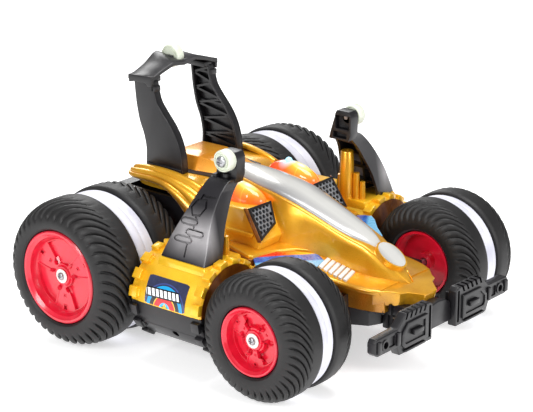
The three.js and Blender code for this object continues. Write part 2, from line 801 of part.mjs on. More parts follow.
// Lamps on the shoulders: an amber lens shell with a blue light standing in it.
const LAMP = { x: alongBody(72.5), y: 28, length: 22.5 * STRETCH, width: 8.5, height: 12 };
const LED = { x: alongBody(64), radius: 2.6 };
function lampLens() {
  const dome = new THREE.SphereGeometry(1, 16, 8);
  dome.scale(LAMP.length, LAMP.width, LAMP.height);
  dome.translate(LAMP.x, LAMP.y, INTAKE.top[1] + GAP);
  const under = box([0, 0, 0], [WHEELBASE, 60, INTAKE.top[1] + GAP]);
  const flank = box([0, 0, 0], [WHEELBASE, 21.5, 120]);
  const ledHole = rod("z", [LED.x, LAMP.y, 0], LED.radius + GAP, 0, 130, 12);
  return cut(solid(dome), under, flank, ledHole);
}
addPair("lamp_lens", lampLens(), AMBER);
const ledBase = INTAKE.top[1] + GAP;
const ledTop = ledBase + LAMP.height + 0.5;
const ledProfile = [
  [0, ledBase],
  [LED.radius, ledBase],
  [LED.radius, ledTop - 2],
  [LED.radius * 0.7, ledTop - 0.6],
  [0, ledTop],
];
addPair("blue_light", turned("z", [LED.x, LAMP.y, 0], ledProfile, 12), BLUE);

// ---------------------------------------------------------------------------------------------
// Side pods
// ---------------------------------------------------------------------------------------------

const podAxis = [0, POD_Y, POD_Z];

function toothedDisc(from, to) {
  const shape = new THREE.Shape();
  const step = (2 * Math.PI) / POD_TEETH;
  for (let i = 0; i < POD_TEETH; i++)
    for (const [rise, share] of [[0, 0], [POD_TOOTH, 0.1], [POD_TOOTH, 0.6], [0, 0.7]]) {
      const radius = POD_RADIUS + rise;
      const angle = step * (i + share);
      const point = [POD_Y + radius * Math.cos(angle), POD_Z + radius * Math.sin(angle)];
      if (i === 0 && share === 0) shape.moveTo(...point);
      else shape.lineTo(...point);
    }
  return prism("x", shape, from, to);
}

function podHalf(above) {
  const barrel = rod("x", podAxis, POD_RADIUS - 1, POD_REAR + 1, POD_FRONT - 1, 32);
  const hollow = rod(
    "x",
    podAxis,
    POD_RADIUS - 1 - WALL,
    POD_REAR + WALL,
    POD_FRONT - WALL,
    24,
  );
  const flanges = [
    toothedDisc(POD_REAR, POD_REAR + POD_FLANGE),
    toothedDisc(POD_FRONT - POD_FLANGE, POD_FRONT),
  ];
  const sideWall = above ? BODY_HALF : TRAY_HALF;
  const neck = box(
    [alongPod(0.2), sideWall + GAP, POD_Z - 11],
    [alongPod(0.8), POD_Y - POD_RADIUS + 6, POD_Z + 11],
  );
  const cutter = above
    ? box([0, 0, -50], [WHEELBASE, 200, POD_Z + GAP / 2])
    : box([0, 0, POD_Z - GAP / 2], [WHEELBASE, 200, 150]);
  const whole = cut(join(barrel, ...flanges), hollow);
  return cut(join(whole, cut(neck, hollow)), cutter);
}

const POST = { x: alongPod(0.576), y: POD_Y - 14, foot: 5.6, top: 4.4, bore: 1.2, boreDepth: 10 };
const postProfile = [
  [0, POD_Z + POD_RADIUS - 8],
  [POST.foot, POD_Z + POD_RADIUS - 8],
  [POST.top, POST_TOP],
  [POST.bore, POST_TOP],
  [POST.bore, POST_TOP - POST.boreDepth],
  [0, POST_TOP - POST.boreDepth],
];
const postSolid = turned("z", [POST.x, POST.y, 0], postProfile, 16);
addPair("pod_upper", join(podHalf(true), postSolid), GOLD);
const podFlat = box([0, 0, -50], [WHEELBASE, 200, POD_Z - POD_RADIUS + 2]);
addPair("pod_lower", cut(podHalf(false), podFlat), BLACK);

// ---------------------------------------------------------------------------------------------
// Side arms with their rollers
// ---------------------------------------------------------------------------------------------

// Upright of the arm: [z, back and front as shares of the pod's length, outer and inner face
// measured from the pod's axis].
const ARM = [
  [58, 0.169, 0.907, 21, 4],
  [73, 0.246, 0.881, 17, -0.5],
  [83, 0.297, 0.864, 13, -3],
  [93, 0.364, 0.836, 9, -6.5],
  [103, 0.424, 0.805, 3.3, -12],
  [112, 0.458, 0.780, -3.4, -17.5],
  [120, 0.483, 0.771, -11.7, -25],
].map(([z, back, front, outer, inner]) => [
  z,
  alongPod(back),
  alongPod(front),
  POD_Y + outer,
  POD_Y + inner,
]);
const ARM_BORE = 1.8;
const BOSS_INNER_Y = ROLLER_INNER_Y - 8.8;

function armBlock(inset) {
  return loft(
    ARM.filter(([z]) => inset === 0 || z < 110).map(([z, back, front, outer, inner]) => [
      [back + inset, outer - inset, z],
      [front - inset, outer - inset, z],
      [front - inset, inner - (inset ? 6 : 0), z],
      [back + inset, inner - (inset ? 6 : 0), z],
    ]),
  );
}

function sideArm() {
  const headOutline = new THREE.Shape();
  headOutline.moveTo(ARM_TOP_X - 12.4, 117);
  headOutline.lineTo(ARM_TOP_X + 4, 117);
  headOutline.lineTo(ARM_TOP_X + 7.6, 124);
  headOutline.lineTo(ARM_TOP_X + 8, ARM_TOP_Z);
  headOutline.absarc(ARM_TOP_X, ARM_TOP_Z, 8, 0, Math.PI, false);
  headOutline.lineTo(ARM_TOP_X - 10.9, 124);
  const outerY = ROLLER_INNER_Y - GAP;
  const head = prism("y", headOutline, BOSS_INNER_Y, outerY);
  const hollow = armBlock(WALL);
  const podSpace = rod("x", podAxis, POD_RADIUS - 1 + GAP, 0, WHEELBASE, 32);
  const screwBore = rod("y", [ARM_TOP_X, 0, ARM_TOP_Z], ARM_BORE, outerY - 6, outerY + 1, 16);
  const postSpace = rod("z", [POST.x, POST.y, 0], POST.foot + 1, 0, POST_TOP + 2, 12);
  return cut(join(armBlock(0), head), hollow, podSpace, screwBore, postSpace);
}
addPair("side_arm", sideArm(), BLACK);

const rollerAxis = [ARM_TOP_X, 0, ARM_TOP_Z];
const rollerOuterY = ROLLER_INNER_Y + ROLLER_WIDTH;
const ringProfile = (radius, bore, from, to) => [
  [bore, from],
  [radius - 1, from],
  [radius, from + 1],
  [radius, to - 1],
  [radius - 1, to],
  [bore, to],
];
addPair(
  "arm_roller",
  turned("y", rollerAxis, ringProfile(ROLLER_RADIUS, ROLLER_BORE, ROLLER_INNER_Y, rollerOuterY), 18),
  ROLLER_WHITE,
);
const shankRadius = ROLLER_BORE - GAP;
const shankEnd = ROLLER_INNER_Y - GAP - 6 + GAP;
const rollerScrewProfile = [
  [0, shankEnd],
  [shankRadius, shankEnd],
  [shankRadius, rollerOuterY + GAP],
  [3.6, rollerOuterY + GAP],
  [3, rollerOuterY + 2],
  [0, rollerOuterY + 2.2],
];
addPair("roller_screw", turned("y", rollerAxis, rollerScrewProfile, 12), STEEL);

// ---------------------------------------------------------------------------------------------
// Roll bar
// ---------------------------------------------------------------------------------------------

// Leg seen from the side: [share of its height, back x, front x], a flat channel that sweeps back
// as it rises.
const LEG_FOOT = DECK_TOP + GAP;
const LEG_HEIGHT = BAR_TOP - GAP - LEG_FOOT;
const LEG = [
  [0, -9, 24],
  [0.22, -8.5, 23],
  [0.37, -10.5, 20],
  [0.52, -14.5, 14.5],
  [0.69, -17, 5],
  [0.8, -17.8, 0.5],
  [1, -19, -2.5],
].map(([share, back, front]) => [LEG_FOOT + LEG_HEIGHT * share, back, front]);

function legOutline(inset, drop) {
  const rows = LEG.map(([z, back, front]) => [z, back + inset, front - inset]);
  rows[0][0] += drop;
  rows[rows.length - 1][0] -= drop;
  const back = rows.map(([z, x]) => [x, z]);
  const front = rows.map(([z, , x]) => [x, z]).reverse();
  return [...back, ...front];
}

function rollBarLeg() {
  const web = BAR_OUTER_Y - WALL;
  const channel = prism("y", legOutline(0, 0), BAR_OUTER_Y - BAR_DEPTH, BAR_OUTER_Y);
  const hollow = prism("y", legOutline(2, 3), BAR_OUTER_Y - BAR_DEPTH - 1, web);
  return cut(channel, hollow);
}
addPair("roll_bar_leg", rollBarLeg(), BLACK);

// Crossbar: a ribbon that arches from leg to leg, [y, z] along its top from the middle outwards.
const CROSSBAR_TOP = [
  [0, BAR_TOP + 13.5],
  [BAR_OUTER_Y * 0.25, BAR_TOP + 13],
  [BAR_OUTER_Y * 0.39, BAR_TOP + 10.5],
  [BAR_OUTER_Y * 0.56, BAR_TOP + 7.5],
  [BAR_OUTER_Y * 0.78, BAR_TOP + 5.5],
  [BAR_OUTER_Y + 1.5, BAR_TOP + 3.5],
];
const CROSSBAR_BACK = -22;
const CROSSBAR_FRONT = -1;
const CROSSBAR_ROLLER = { x: -12, z: BAR_TOP + 10.5, width: 8, pin: 1.2 };

function rollBarCrossbar() {
  const outward = CROSSBAR_TOP.map(([y, z]) => [y, z]);
  const end = outward.at(-1);
  const skirt = [
    [end[0], BAR_TOP - 4],
    [end[0] - 1.2, BAR_TOP - 4],
    [end[0] - 1.2, BAR_TOP],
    [BAR_OUTER_Y * 0.67, BAR_TOP],
  ];
  const under = CROSSBAR_TOP.slice(0, 4).map(([y, z]) => [y, z - CROSSBAR_THICK]);
  const half = [...outward, ...skirt, ...under.reverse()];
  const right = half.map(([y, z]) => [-y, z]).reverse();
  const outline = [...half, ...right.slice(1, -1)];
  const ribbon = prism("x", outline, CROSSBAR_BACK, CROSSBAR_FRONT);
  const { x, z, width, pin } = CROSSBAR_ROLLER;
  const reach = CROSSBAR_ROLLER_RADIUS + 1;
  const cheeks = box([x - 4, -width / 2 - 3, z - 4], [x + 4, width / 2 + 3, z + 2.5]);
  const pinHole = rod("y", [x, 0, z], pin + GAP, -width / 2 - 3.5, width / 2 + 3.5, 12);
  const slot = box(
    [x - reach, -width / 2 - 0.5, BAR_TOP],
    [x + reach, width / 2 + 0.5, BAR_TOP + 28],
  );
  return cut(join(ribbon, cheeks), slot, pinHole);
}
add("roll_bar_crossbar", rollBarCrossbar(), BLACK);
const pinAxis = [CROSSBAR_ROLLER.x, 0, CROSSBAR_ROLLER.z];
const halfRoller = CROSSBAR_ROLLER.width / 2;
const rollerBore = CROSSBAR_ROLLER.pin + GAP;
add(
  "crossbar_roller",
  turned("y", pinAxis, ringProfile(CROSSBAR_ROLLER_RADIUS, rollerBore, -halfRoller, halfRoller), 18),
  ROLLER_WHITE,
);
add("crossbar_pin", rod("y", pinAxis, CROSSBAR_ROLLER.pin, -halfRoller - 3, halfRoller + 3, 10), STEEL);

// ---------------------------------------------------------------------------------------------
// Front bumper
// ---------------------------------------------------------------------------------------------

const PLATE_BACK = BUMPER_FACE - 9;
const PLATE_FRONT = BUMPER_FACE - 2.5;

function frontBumper() {
  const plateOutline = [
    [12.5, 27],
    [49, 27],
    [52, 34],
    [70, 34],
    [73, 37],
    [73, 42],
    [70, 45.5],
    [51, 45.5],
    [42.5, 54],
    [14, 54],
  ];
  const panelOutline = [
    [19, 32],
    [45, 32],
    [45, 42],
    [39, 48],
    [19, 48],
  ];
  const plate = prism("x", plateOutline, PLATE_BACK, PLATE_FRONT);
  const panel = prism("x", panelOutline, PLATE_FRONT - 1, BUMPER_FACE);
  const half = join(plate, panel);
  const block = box([TRAY_FRONT + GAP, -13.5, FLOOR - 3], [PLATE_BACK + 2, 13.5, SPLIT - GAP]);
  const riser = box([FRONT_AXLE.x + 33.5, -9, SPLIT - 4], [PLATE_BACK, 9, 45 - GAP]);
  const neck = prism(
    "z",
    bothSides([
      [NOSE_X + 0.6, 6],
      [PLATE_BACK + 2, 15],
    ]),
    34,
    50,
  );
  return join(half, mirrored(half), block, riser, neck);
}
add("front_bumper", frontBumper(), BLACK);

export default car;
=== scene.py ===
# %% [markdown]
# A radio-controlled stunt car. It has four double wheels, a gold wedge body with a pearl canopy,
# two round side pods, two side arms with rollers at their tips, and a roll bar over the rear axle.
#
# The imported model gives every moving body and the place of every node. This lesson models the
# visible pieces again, finer, around the same axles, and gives each of them its finish. The car
# is drawn in millimetres with the rear axle at X = 0, because those numbers are easy to read. The
# last step of every piece brings it to metres and to its place in the frame.

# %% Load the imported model
import json
import math

import bmesh
import bpy
from mathutils import Matrix, Vector

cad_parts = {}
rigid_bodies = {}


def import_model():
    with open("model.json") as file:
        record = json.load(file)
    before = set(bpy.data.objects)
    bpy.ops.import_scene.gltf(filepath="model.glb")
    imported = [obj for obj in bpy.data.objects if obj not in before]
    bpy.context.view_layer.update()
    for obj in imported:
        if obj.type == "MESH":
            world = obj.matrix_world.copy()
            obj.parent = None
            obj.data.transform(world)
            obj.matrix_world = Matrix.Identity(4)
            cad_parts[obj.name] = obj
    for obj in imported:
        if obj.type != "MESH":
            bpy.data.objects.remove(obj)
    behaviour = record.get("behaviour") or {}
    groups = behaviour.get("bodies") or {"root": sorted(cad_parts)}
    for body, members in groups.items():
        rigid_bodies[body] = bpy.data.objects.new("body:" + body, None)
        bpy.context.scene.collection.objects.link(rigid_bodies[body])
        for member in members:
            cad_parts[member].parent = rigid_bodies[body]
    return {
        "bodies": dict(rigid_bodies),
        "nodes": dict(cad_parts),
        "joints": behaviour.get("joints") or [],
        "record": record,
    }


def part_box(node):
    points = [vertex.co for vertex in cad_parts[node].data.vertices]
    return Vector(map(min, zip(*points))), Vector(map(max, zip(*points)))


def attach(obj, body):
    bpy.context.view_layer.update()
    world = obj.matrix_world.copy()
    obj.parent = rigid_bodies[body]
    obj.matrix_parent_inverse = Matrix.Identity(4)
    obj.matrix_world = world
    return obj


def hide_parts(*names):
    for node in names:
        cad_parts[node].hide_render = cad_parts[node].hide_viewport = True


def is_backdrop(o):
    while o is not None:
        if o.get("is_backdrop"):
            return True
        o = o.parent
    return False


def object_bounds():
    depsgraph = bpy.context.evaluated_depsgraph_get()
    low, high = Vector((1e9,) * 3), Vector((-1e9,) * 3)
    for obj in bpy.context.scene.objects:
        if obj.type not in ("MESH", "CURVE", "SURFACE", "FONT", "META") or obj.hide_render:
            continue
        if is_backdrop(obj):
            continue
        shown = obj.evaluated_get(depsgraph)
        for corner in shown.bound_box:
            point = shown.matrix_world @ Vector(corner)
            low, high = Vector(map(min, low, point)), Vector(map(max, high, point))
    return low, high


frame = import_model()
cad_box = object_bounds()
MM = 0.001


def middle_of(node):
    low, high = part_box(node)
    return (low + high) / 2


def half_size_of(node):
    low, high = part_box(node)
    return (high - low) / 2 / MM


rear_ring = middle_of("rear_light_ring_left")
front_ring = middle_of("front_light_ring_left")
CAR = Matrix.Translation((rear_ring.x, 0, 0)) @ Matrix.Scale(MM, 4)
WHEELBASE = (front_ring.x - rear_ring.x) / MM
HALF_TRACK = rear_ring.y / MM
FRONT = WHEELBASE  # X of the front axle; the rear axle is at 0
print(f"wheelbase {WHEELBASE:.1f} mm, track {2 * HALF_TRACK:.1f} mm")

# %% [markdown]
# The camera comes first, so that every later look is through it. It stands to the front and
# right of the car, a little above it, and far off with a long lens, which keeps the wheels
# nearly the same size.

# %% Camera
AZIMUTH = math.radians(39.6)
ELEVATION = math.radians(18.8)
DISTANCE = 1349.6
LENS = 135.1
LOOK_AT = CAR @ Vector((71.4, 0, 81.4))
view_line = Vector(
    (
        -math.sin(AZIMUTH) * math.cos(ELEVATION),
        math.cos(AZIMUTH) * math.cos(ELEVATION),
        -math.sin(ELEVATION),
    )
)
camera_data = bpy.data.cameras.new("camera")
camera_data.lens = LENS
camera_data.sensor_width = 36
camera = bpy.data.objects.new("camera", camera_data)
camera.location = LOOK_AT - view_line * DISTANCE * MM
camera.rotation_euler = view_line.to_track_quat("-Z", "Y").to_euler()
bpy.context.scene.collection.objects.link(camera)
bpy.context.scene.camera = camera
print("camera at", [round(v, 3) for v in camera.location])

# %% [markdown]
# Gloss shows only what it reflects. A pale room lights the car from everywhere, and a few large
# soft panels draw the long highlights on gold, red and black.

# %% Floor, room and lights
floor_bm = bmesh.new()
bmesh.ops.create_grid(floor_bm, x_segments=1, y_segments=1, size=3)
floor_mesh = bpy.data.meshes.new("floor")
floor_bm.to_mesh(floor_mesh)
floor_bm.free()
floor = bpy.data.objects.new("floor", floor_mesh)
bpy.context.scene.collection.objects.link(floor)
floor_paint = bpy.data.materials.new("floor_paper")
floor_paint.use_nodes = True
FLOOR_LOOK = {
    "Base Color": (0.9, 0.9, 0.9, 1),
    "Roughness": 0.9,
    "Emission Color": (1, 1, 1, 1),
    "Emission Strength": 0.55,
}
for socket, value in FLOOR_LOOK.items():
    floor_paint.node_tree.nodes["Principled BSDF"].inputs[socket].default_value = value
floor_mesh.materials.append(floor_paint)
floor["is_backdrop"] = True

room = bpy.data.worlds.new("room")
room.use_nodes = True
room.node_tree.nodes["Background"].inputs["Color"].default_value = (1, 1, 1, 1)
room.node_tree.nodes["Background"].inputs["Strength"].default_value = 0.32
bpy.context.scene.world = room
bpy.context.scene.view_settings.view_transform = "Standard"


CAR_MIDDLE = Vector((0, 0, 0.06))


def soft_panel(name, place, size, watts):
    """A square light panel that faces the car."""
    data = bpy.data.lights.new(name, "AREA")
    data.size = size
    data.energy = watts
    panel = bpy.data.objects.new(name, data)
    panel.location = place
    aim = CAR_MIDDLE - Vector(place)
    panel.rotation_euler = aim.to_track_quat("-Z", "Y").to_euler()
    bpy.context.scene.collection.objects.link(panel)


# [name, place, side in metres, watts]
PANELS = [
    ("overhead", (0.1, 0.1, 1.3), 0.7, 11),
    ("front_left_of_view", (0.05, -1.3, 0.8), 0.55, 11),
    ("front_right_of_view", (1.2, -0.1, 0.6), 0.5, 6),
    ("behind", (-1.1, 0.9, 0.9), 0.7, 8),
]
for panel in PANELS:
    soft_panel(*panel)
print(len(PANELS), "soft panels")

# %% [markdown]
# A finish is built in two layers of help. `Value` wraps one output of a shader node, and the
# usual arithmetic on it adds Math nodes, so a mask can be written as `1 - spots`. `Paint` makes
# one material: its `node` method adds any node, settings first, and its `surface` method fills
# the shader's own sockets.

# %% Shader helpers
class Value:
    """One output of a node. Arithmetic on it adds Math nodes."""

    def __init__(self, paint, socket):
        self.paint = paint
        self.socket = socket

    def maths(self, operation, *others, clamp=False):
        settings = {"operation": operation, "use_clamp": clamp}
        return self.paint.node("ShaderNodeMath", settings, [self, *others])

    def __add__(self, other):
        return self.maths("ADD", other)

    def __sub__(self, other):
        return self.maths("SUBTRACT", other)

    def __rsub__(self, other):
        return self.paint.node("ShaderNodeMath", {"operation": "SUBTRACT"}, [other, self])

    def __mul__(self, other):
        return self.maths("MULTIPLY", other)

    def __truediv__(self, other):
        return self.maths("DIVIDE", other)

    def __gt__(self, other):
        return self.maths("GREATER_THAN", other)

    def __lt__(self, other):
        return self.maths("LESS_THAN", other)

    __radd__ = __add__
    __rmul__ = __mul__

    def step(self, low, high):
        """0 below low, 1 above high, and a straight ramp between them."""
        return ((self - low) / (high - low)).maths("ADD", 0, clamp=True)


def colour(code):
    """The linear colour of a six-digit web colour."""
    channels = [int(code[i : i + 2], 16) / 255 for i in (0, 2, 4)]
    linear = [c / 12.92 if c <= 0.04045 else ((c + 0.055) / 1.055) ** 2.4 for c in channels]
    return (*linear, 1)


class Paint:
    """One material, and the place of each point of the car in millimetres."""

    def __init__(self, name):
        self.material = bpy.data.materials.new(name)
        self.material.use_nodes = True
        self.tree = self.material.node_tree
        self.shader = self.tree.nodes["Principled BSDF"]

    def fill(self, socket, value):
        if isinstance(value, Value):
            self.tree.links.new(value.socket, socket)
        else:
            socket.default_value = value

    def node(self, kind, settings=None, inputs=(), output=0):
        made = self.tree.nodes.new(kind)
        settings = dict(settings or {})
        stops = settings.pop("stops", None)
        for key, value in settings.items():
            setattr(made, key, value)
        if stops:
            ramp = made.color_ramp.elements
            for (at, shade), stop in zip(stops[:2], (ramp[0], ramp[1])):
                stop.position, stop.color = at, shade
            for at, shade in stops[2:]:
                ramp.new(at).color = shade
        pairs = inputs.items() if isinstance(inputs, dict) else enumerate(inputs)
        for key, value in pairs:
            self.fill(made.inputs[key], value)
        return Value(self, made.outputs[output])

    def place(self):
        """Object coordinates in millimetres, with X from the rear axle."""
        raw = self.node("ShaderNodeTexCoord", output="Object")
        inputs = {"Vector": raw, "Location": (-rear_ring.x / MM, 0, 0), "Scale": (1 / MM,) * 3}
        return self.node("ShaderNodeMapping", None, inputs)

    def axes(self):
        split = self.node("ShaderNodeSeparateXYZ", None, [self.place()])
        outputs = split.socket.node.outputs
        return [Value(self, outputs[k]) for k in range(3)]

    def noise(self, size, detail=3):
        """Smooth noise whose blobs are about size millimetres across."""
        inputs = {"Vector": self.place(), "Scale": 1 / size, "Detail": detail}
        return self.node("ShaderNodeTexNoise", None, inputs)

    def mix(self, factor, first, second):
        inputs = {0: factor, 6: first, 7: second}
        return self.node("ShaderNodeMix", {"data_type": "RGBA"}, inputs, output=2)

    def bump(self, height, depth):
        """Turns a height from 0 to 1 into a relief depth millimetres deep."""
        inputs = {"Height": height, "Distance": depth * MM, "Strength": 1.0}
        return self.node("ShaderNodeBump", None, inputs)

    def surface(self, **values):
        for key, value in values.items():
            self.fill(self.shader.inputs[key.replace("_", " ")], value)
        return self.material


# %% [markdown]
# The body's gold is a metal-flake lacquer: a warm base with fine sparkle under a clear coat. A
# little large-scale variation keeps big panels from looking like flat card.

# %% Gold, pearl and red lacquers
def gold_lacquer(name="gold_lacquer", first="F0B020", second="DB960F", metallic=0.5, ridge_shade=0):
    paint = Paint(name)
    flakes = paint.noise(0.35)
    clouds = paint.noise(18)
    base = paint.mix(clouds.step(0.35, 0.7), colour(first), colour(second))
    # Painted shade and painted reflection: the skirt beside the front wheels is painted darker,
    # towards a red brown, where it lies low and mirrors the red hubs.
    x, y, z = paint.axes()
    low = z.step(60, 46) * x.step(116, 132) * x.step(196, 186)
    base = paint.mix(low * 0.6, base, colour("8A3A10"))
    if ridge_shade:
        # Painted shade: the lower ridges of the fairing are painted browner, along a line that falls
        # towards the front.
        height = z + (x - 20).maths("MAXIMUM", 0) * 0.5
        base = paint.mix(height.step(103, 97) * ridge_shade, base, colour("7A4410"))
    tint = paint.mix(flakes.step(0.5, 0.8) * 0.35, base, colour("FFE06A"))
    return paint.surface(
        Base_Color=tint,
        Metallic=metallic,
        Roughness=0.24 + flakes * 0.1,
        Normal=paint.bump(paint.noise(2.2), 0.012),
        Coat_Weight=0.55,
        Coat_Roughness=0.06,
    )


def shaded_gold():
    """A deeper, browner gold: painted shade inside corners, and the colour of the pods' end faces."""
    paint = Paint("shaded_gold")
    flakes = paint.noise(0.4)
    base = paint.mix(paint.noise(9).step(0.35, 0.7), colour("9A5A10"), colour("6B350C"))
    return paint.surface(Base_Color=base, Metallic=0.5, Roughness=0.3 + flakes * 0.12, Coat_Weight=0.3)


def pearl_lacquer():
    """Silver-white, greyer at the edges of the strip and window, and darker and warmer at the rear."""
    paint = Paint("pearl_lacquer")
    x, y, z = paint.axes()
    edge = y.maths("ABSOLUTE").step(3, 13)
    base = paint.mix(edge * 0.75, colour("D3D2CE"), colour("828286"))
    base = paint.mix(x.step(95, 45) * 0.55, base, colour("A8A294"))
    return paint.surface(
        Base_Color=base,
        Metallic=0.15,
        Roughness=0.2 + paint.noise(0.4) * 0.08,
        Normal=paint.bump(paint.noise(2), 0.008),
        Coat_Weight=0.6,
        Coat_Roughness=0.05,
    )


def red_gloss():
    paint = Paint("red_gloss")
    blotch = paint.noise(7)
    base = paint.mix(blotch.step(0.3, 0.7), colour("E8193A"), colour("D40F2C"))
    return paint.surface(
        Base_Color=base,
        Roughness=0.24 + paint.noise(1.2) * 0.12,
        Normal=paint.bump(paint.noise(1.6), 0.02),
        Coat_Weight=0.5,
        Coat_Roughness=0.1,
    )


GOLD = gold_lacquer()
# Painted light: a brighter, yellower copy of the gold for the strongly lit pods and arm seats.
LIT_POD_GOLD = gold_lacquer("lit_pod_gold", "FFCB24", "F2AE12", 0.3)
HUMP_ORANGE = gold_lacquer("hump_orange", "F3A42C", "E08614", 0.35)
# Painted light: a brighter, less metallic copy of the gold for the lit sides of the intakes.
LIT_INTAKE_GOLD = gold_lacquer("lit_intake_gold", "FFC634", "F4AE22", 0.12)
# The fairing's gold has painted shade on its lower ridges.
FAIRING_GOLD = gold_lacquer("fairing_gold", ridge_shade=0.75)
GOLD_SHADE = shaded_gold()
PEARL = pearl_lacquer()
RED = red_gloss()
print("lacquers:", GOLD.name, PEARL.name, RED.name)

# %% [markdown]
# Black parts differ mostly in how rough they are. Moulded plastic has a fine spark-eroded grain
# and a satin sheen; tyre rubber is duller and slightly brown-grey where it catches light.

# %% Blacks, whites, metals and lenses
def black_plastic(name="black_plastic", base="19171B", roughness=0.3):
    paint = Paint(name)
    grain = paint.noise(0.5, detail=4)
    tone = paint.mix(paint.noise(14).step(0.3, 0.7), colour(base), colour("0E0D10"))
    return paint.surface(
        Base_Color=tone,
        Roughness=roughness + grain * 0.16,
        Normal=paint.bump(grain, 0.03),
        Coat_Weight=0.12,
        Coat_Roughness=0.25,
    )


def tyre_rubber():
    paint = Paint("tyre_rubber")
    grain = paint.noise(0.7, detail=4)
    tone = paint.mix(paint.noise(11).step(0.3, 0.75), colour("0C0B0C"), colour("141213"))
    return paint.surface(
        Base_Color=tone,
        Roughness=0.42 + grain * 0.2,
        Normal=paint.bump(grain, 0.05),
    )


def milky_band():
    """The translucent white band between the half tyres, lit from within by a few lamps."""
    paint = Paint("milky_band")
    frost = paint.noise(1.1)
    base = paint.mix(paint.noise(16).step(0.3, 0.7), colour("E4E4EC"), colour("C8C8D6"))
    return paint.surface(
        Base_Color=base,
        Roughness=0.38 + frost * 0.15,
        Normal=paint.bump(frost, 0.03),
        Emission_Color=colour("E9E8F5"),
        Emission_Strength=0.05,
    )


def pale_plastic(name, first, second, roughness=0.35):
    paint = Paint(name)
    base = paint.mix(paint.noise(4).step(0.3, 0.7), colour(first), colour(second))
    grain = paint.noise(0.6)
    return paint.surface(
        Base_Color=base, Roughness=roughness + grain * 0.12, Normal=paint.bump(grain, 0.015)
    )


def turned_steel():
    paint = Paint("turned_steel")
    scratches = paint.noise(0.3, detail=5)
    base = paint.mix(scratches, colour("C9C9CC"), colour("8E8F93"))
    return paint.surface(Base_Color=base, Metallic=1.0, Roughness=0.24 + scratches * 0.2)


LED_X = 68
LED_Y = 28


def amber_lens(glow_x=79, glow_y=LED_Y):
    """Amber plastic over a lit lamp: nearly white at the bulb, yellow, then orange-red."""
    paint = Paint("amber_lens")
    x, y, z = paint.axes()
    across = y.maths("ABSOLUTE") - glow_y
    along = x - glow_x
    round_glow = (along * along * 0.35 + across * across).maths("SQRT")
    rays = along.maths("ABSOLUTE").maths("SQRT") * 0.8 + across.maths("ABSOLUTE").maths("SQRT")
    star = rays * rays * 0.8
    distance = round_glow.maths("MINIMUM", star * 0.75 + 0.4)
    stops = [
        (0.0, colour("FFFBE0")), (0.14, colour("FFEA80")), (0.34, colour("FFA830")),
        (0.62, colour("F2662A")), (1.0, colour("DA4014")),
    ]
    ramp = {"stops": stops}
    glow = paint.node("ShaderNodeValToRGB", ramp, [distance.step(0.5, 14)])
    # The blue light beside the bulb shines on the plastic round it.
    beside = x - LED_X
    halo = (beside * beside + across * across).maths("SQRT").step(7.5, 2.5)
    glow = paint.mix(halo * 0.85, glow, colour("8FE0FA"))
    return paint.surface(
        Base_Color=glow,
        Roughness=0.12 + paint.noise(3) * 0.05,
        Emission_Color=glow,
        Emission_Strength=0.4,
        Coat_Weight=0.6,
    )


def blue_lens():
    paint = Paint("blue_lens")
    x, y, z = paint.axes()
    glow = paint.mix(z.step(100, 106), colour("1592DC"), colour("9FE4FF"))
    return paint.surface(
        Base_Color=glow,
        Roughness=0.1 + paint.noise(2) * 0.04,
        Emission_Color=glow,
        Emission_Strength=0.9,
    )


def arm_black():
    """Black with a painted grey-violet sheen, a painted highlight across the middle of the arm's outer
    face.
    """
    paint = Paint("arm_black")
    x, y, z = paint.axes()
    grain = paint.noise(0.5, detail=4)
    sheen = z.step(74, 88) * z.step(112, 94) * y.maths("ABSOLUTE").step(84, 92)
    sheen = sheen * (0.5 + paint.noise(9) * 0.5) * x.step(64, 80)
    base = paint.mix(sheen, colour("1A181D"), colour("AFACAE"))
    return paint.surface(
        Base_Color=base,
        Roughness=0.3 + grain * 0.14,
        Normal=paint.bump(grain, 0.03),
        Coat_Weight=0.2,
    )


BLACK = black_plastic()
ARM_BLACK = arm_black()
# Painted shade: a deep matte black for sheets that stand in for the dark inside the intakes and beside
# the roll bar's feet.
SHADE_BLACK = black_plastic("shade_black", "0F0F10", 0.6)
RUBBER = tyre_rubber()
MILKY = milky_band()
ROLLER_WHITE = pale_plastic("roller_white", "E6EBDC", "D3DAC6")
WASHER_WHITE = pale_plastic("washer_white", "F4F3EE", "E2E0DA", 0.25)
VENT_WHITE = pale_plastic("vent_white", "F2F2F0", "DEDEDE", 0.28)
MESH_GREY = pale_plastic("mesh_grey", "8C8E92", "66686D", 0.3)
STEEL = turned_steel()
AMBER = amber_lens()
BLUE = blue_lens()
print("plastics, metal and lenses made")

# %% [markdown]
# Both labels are printed patterns, worked out from coordinates alone. The one on the deck is
# measured from the wedge's edge, and the one on the pod from the angle round the drum.

# %% Printed labels
POD_Y = 84
POD_Z = 44
POD_R = 30


def side_label():
    """Blue field with pale arcs, a red upper border that turns yellow, and a light lower edge."""
    paint = Paint("side_label")
    x, y, z = paint.axes()
    out = y.maths("ABSOLUTE")
    # Distance from the wedge's edge, which runs nearly straight from rear-outside to front-inside.
    along = (x - 106) * 0.53 - (out - 50) * 0.85
    off = (x - 106) * 0.85 + (out - 50) * 0.53
    wave = (along * 0.55).maths("SINE")
    field = paint.mix(wave.step(-0.2, 0.9) * 0.6, colour("1D56B0"), colour("3F86DC"))
    field = paint.mix(off.step(9.5, 12), field, colour("7CC3EE"))
    chevron = ((off * 0.9 + along.maths("PINGPONG", 4)) * 0.9).maths("SINE")
    stripe = (chevron > 0.86) * (off > 3) * (off < 8.5) * (along > 6) * (along < 26)
    field = paint.mix(stripe, field, colour("F4F6FA"))
    border = paint.mix(along.step(14, 34), colour("E3231A"), colour("FFC51F"))
    base = paint.mix(off < 2.1, field, border)
    return paint.surface(
        Base_Color=base,
        Roughness=0.24 + paint.noise(2) * 0.08,
        Coat_Weight=0.4,
        Coat_Roughness=0.05,
    )


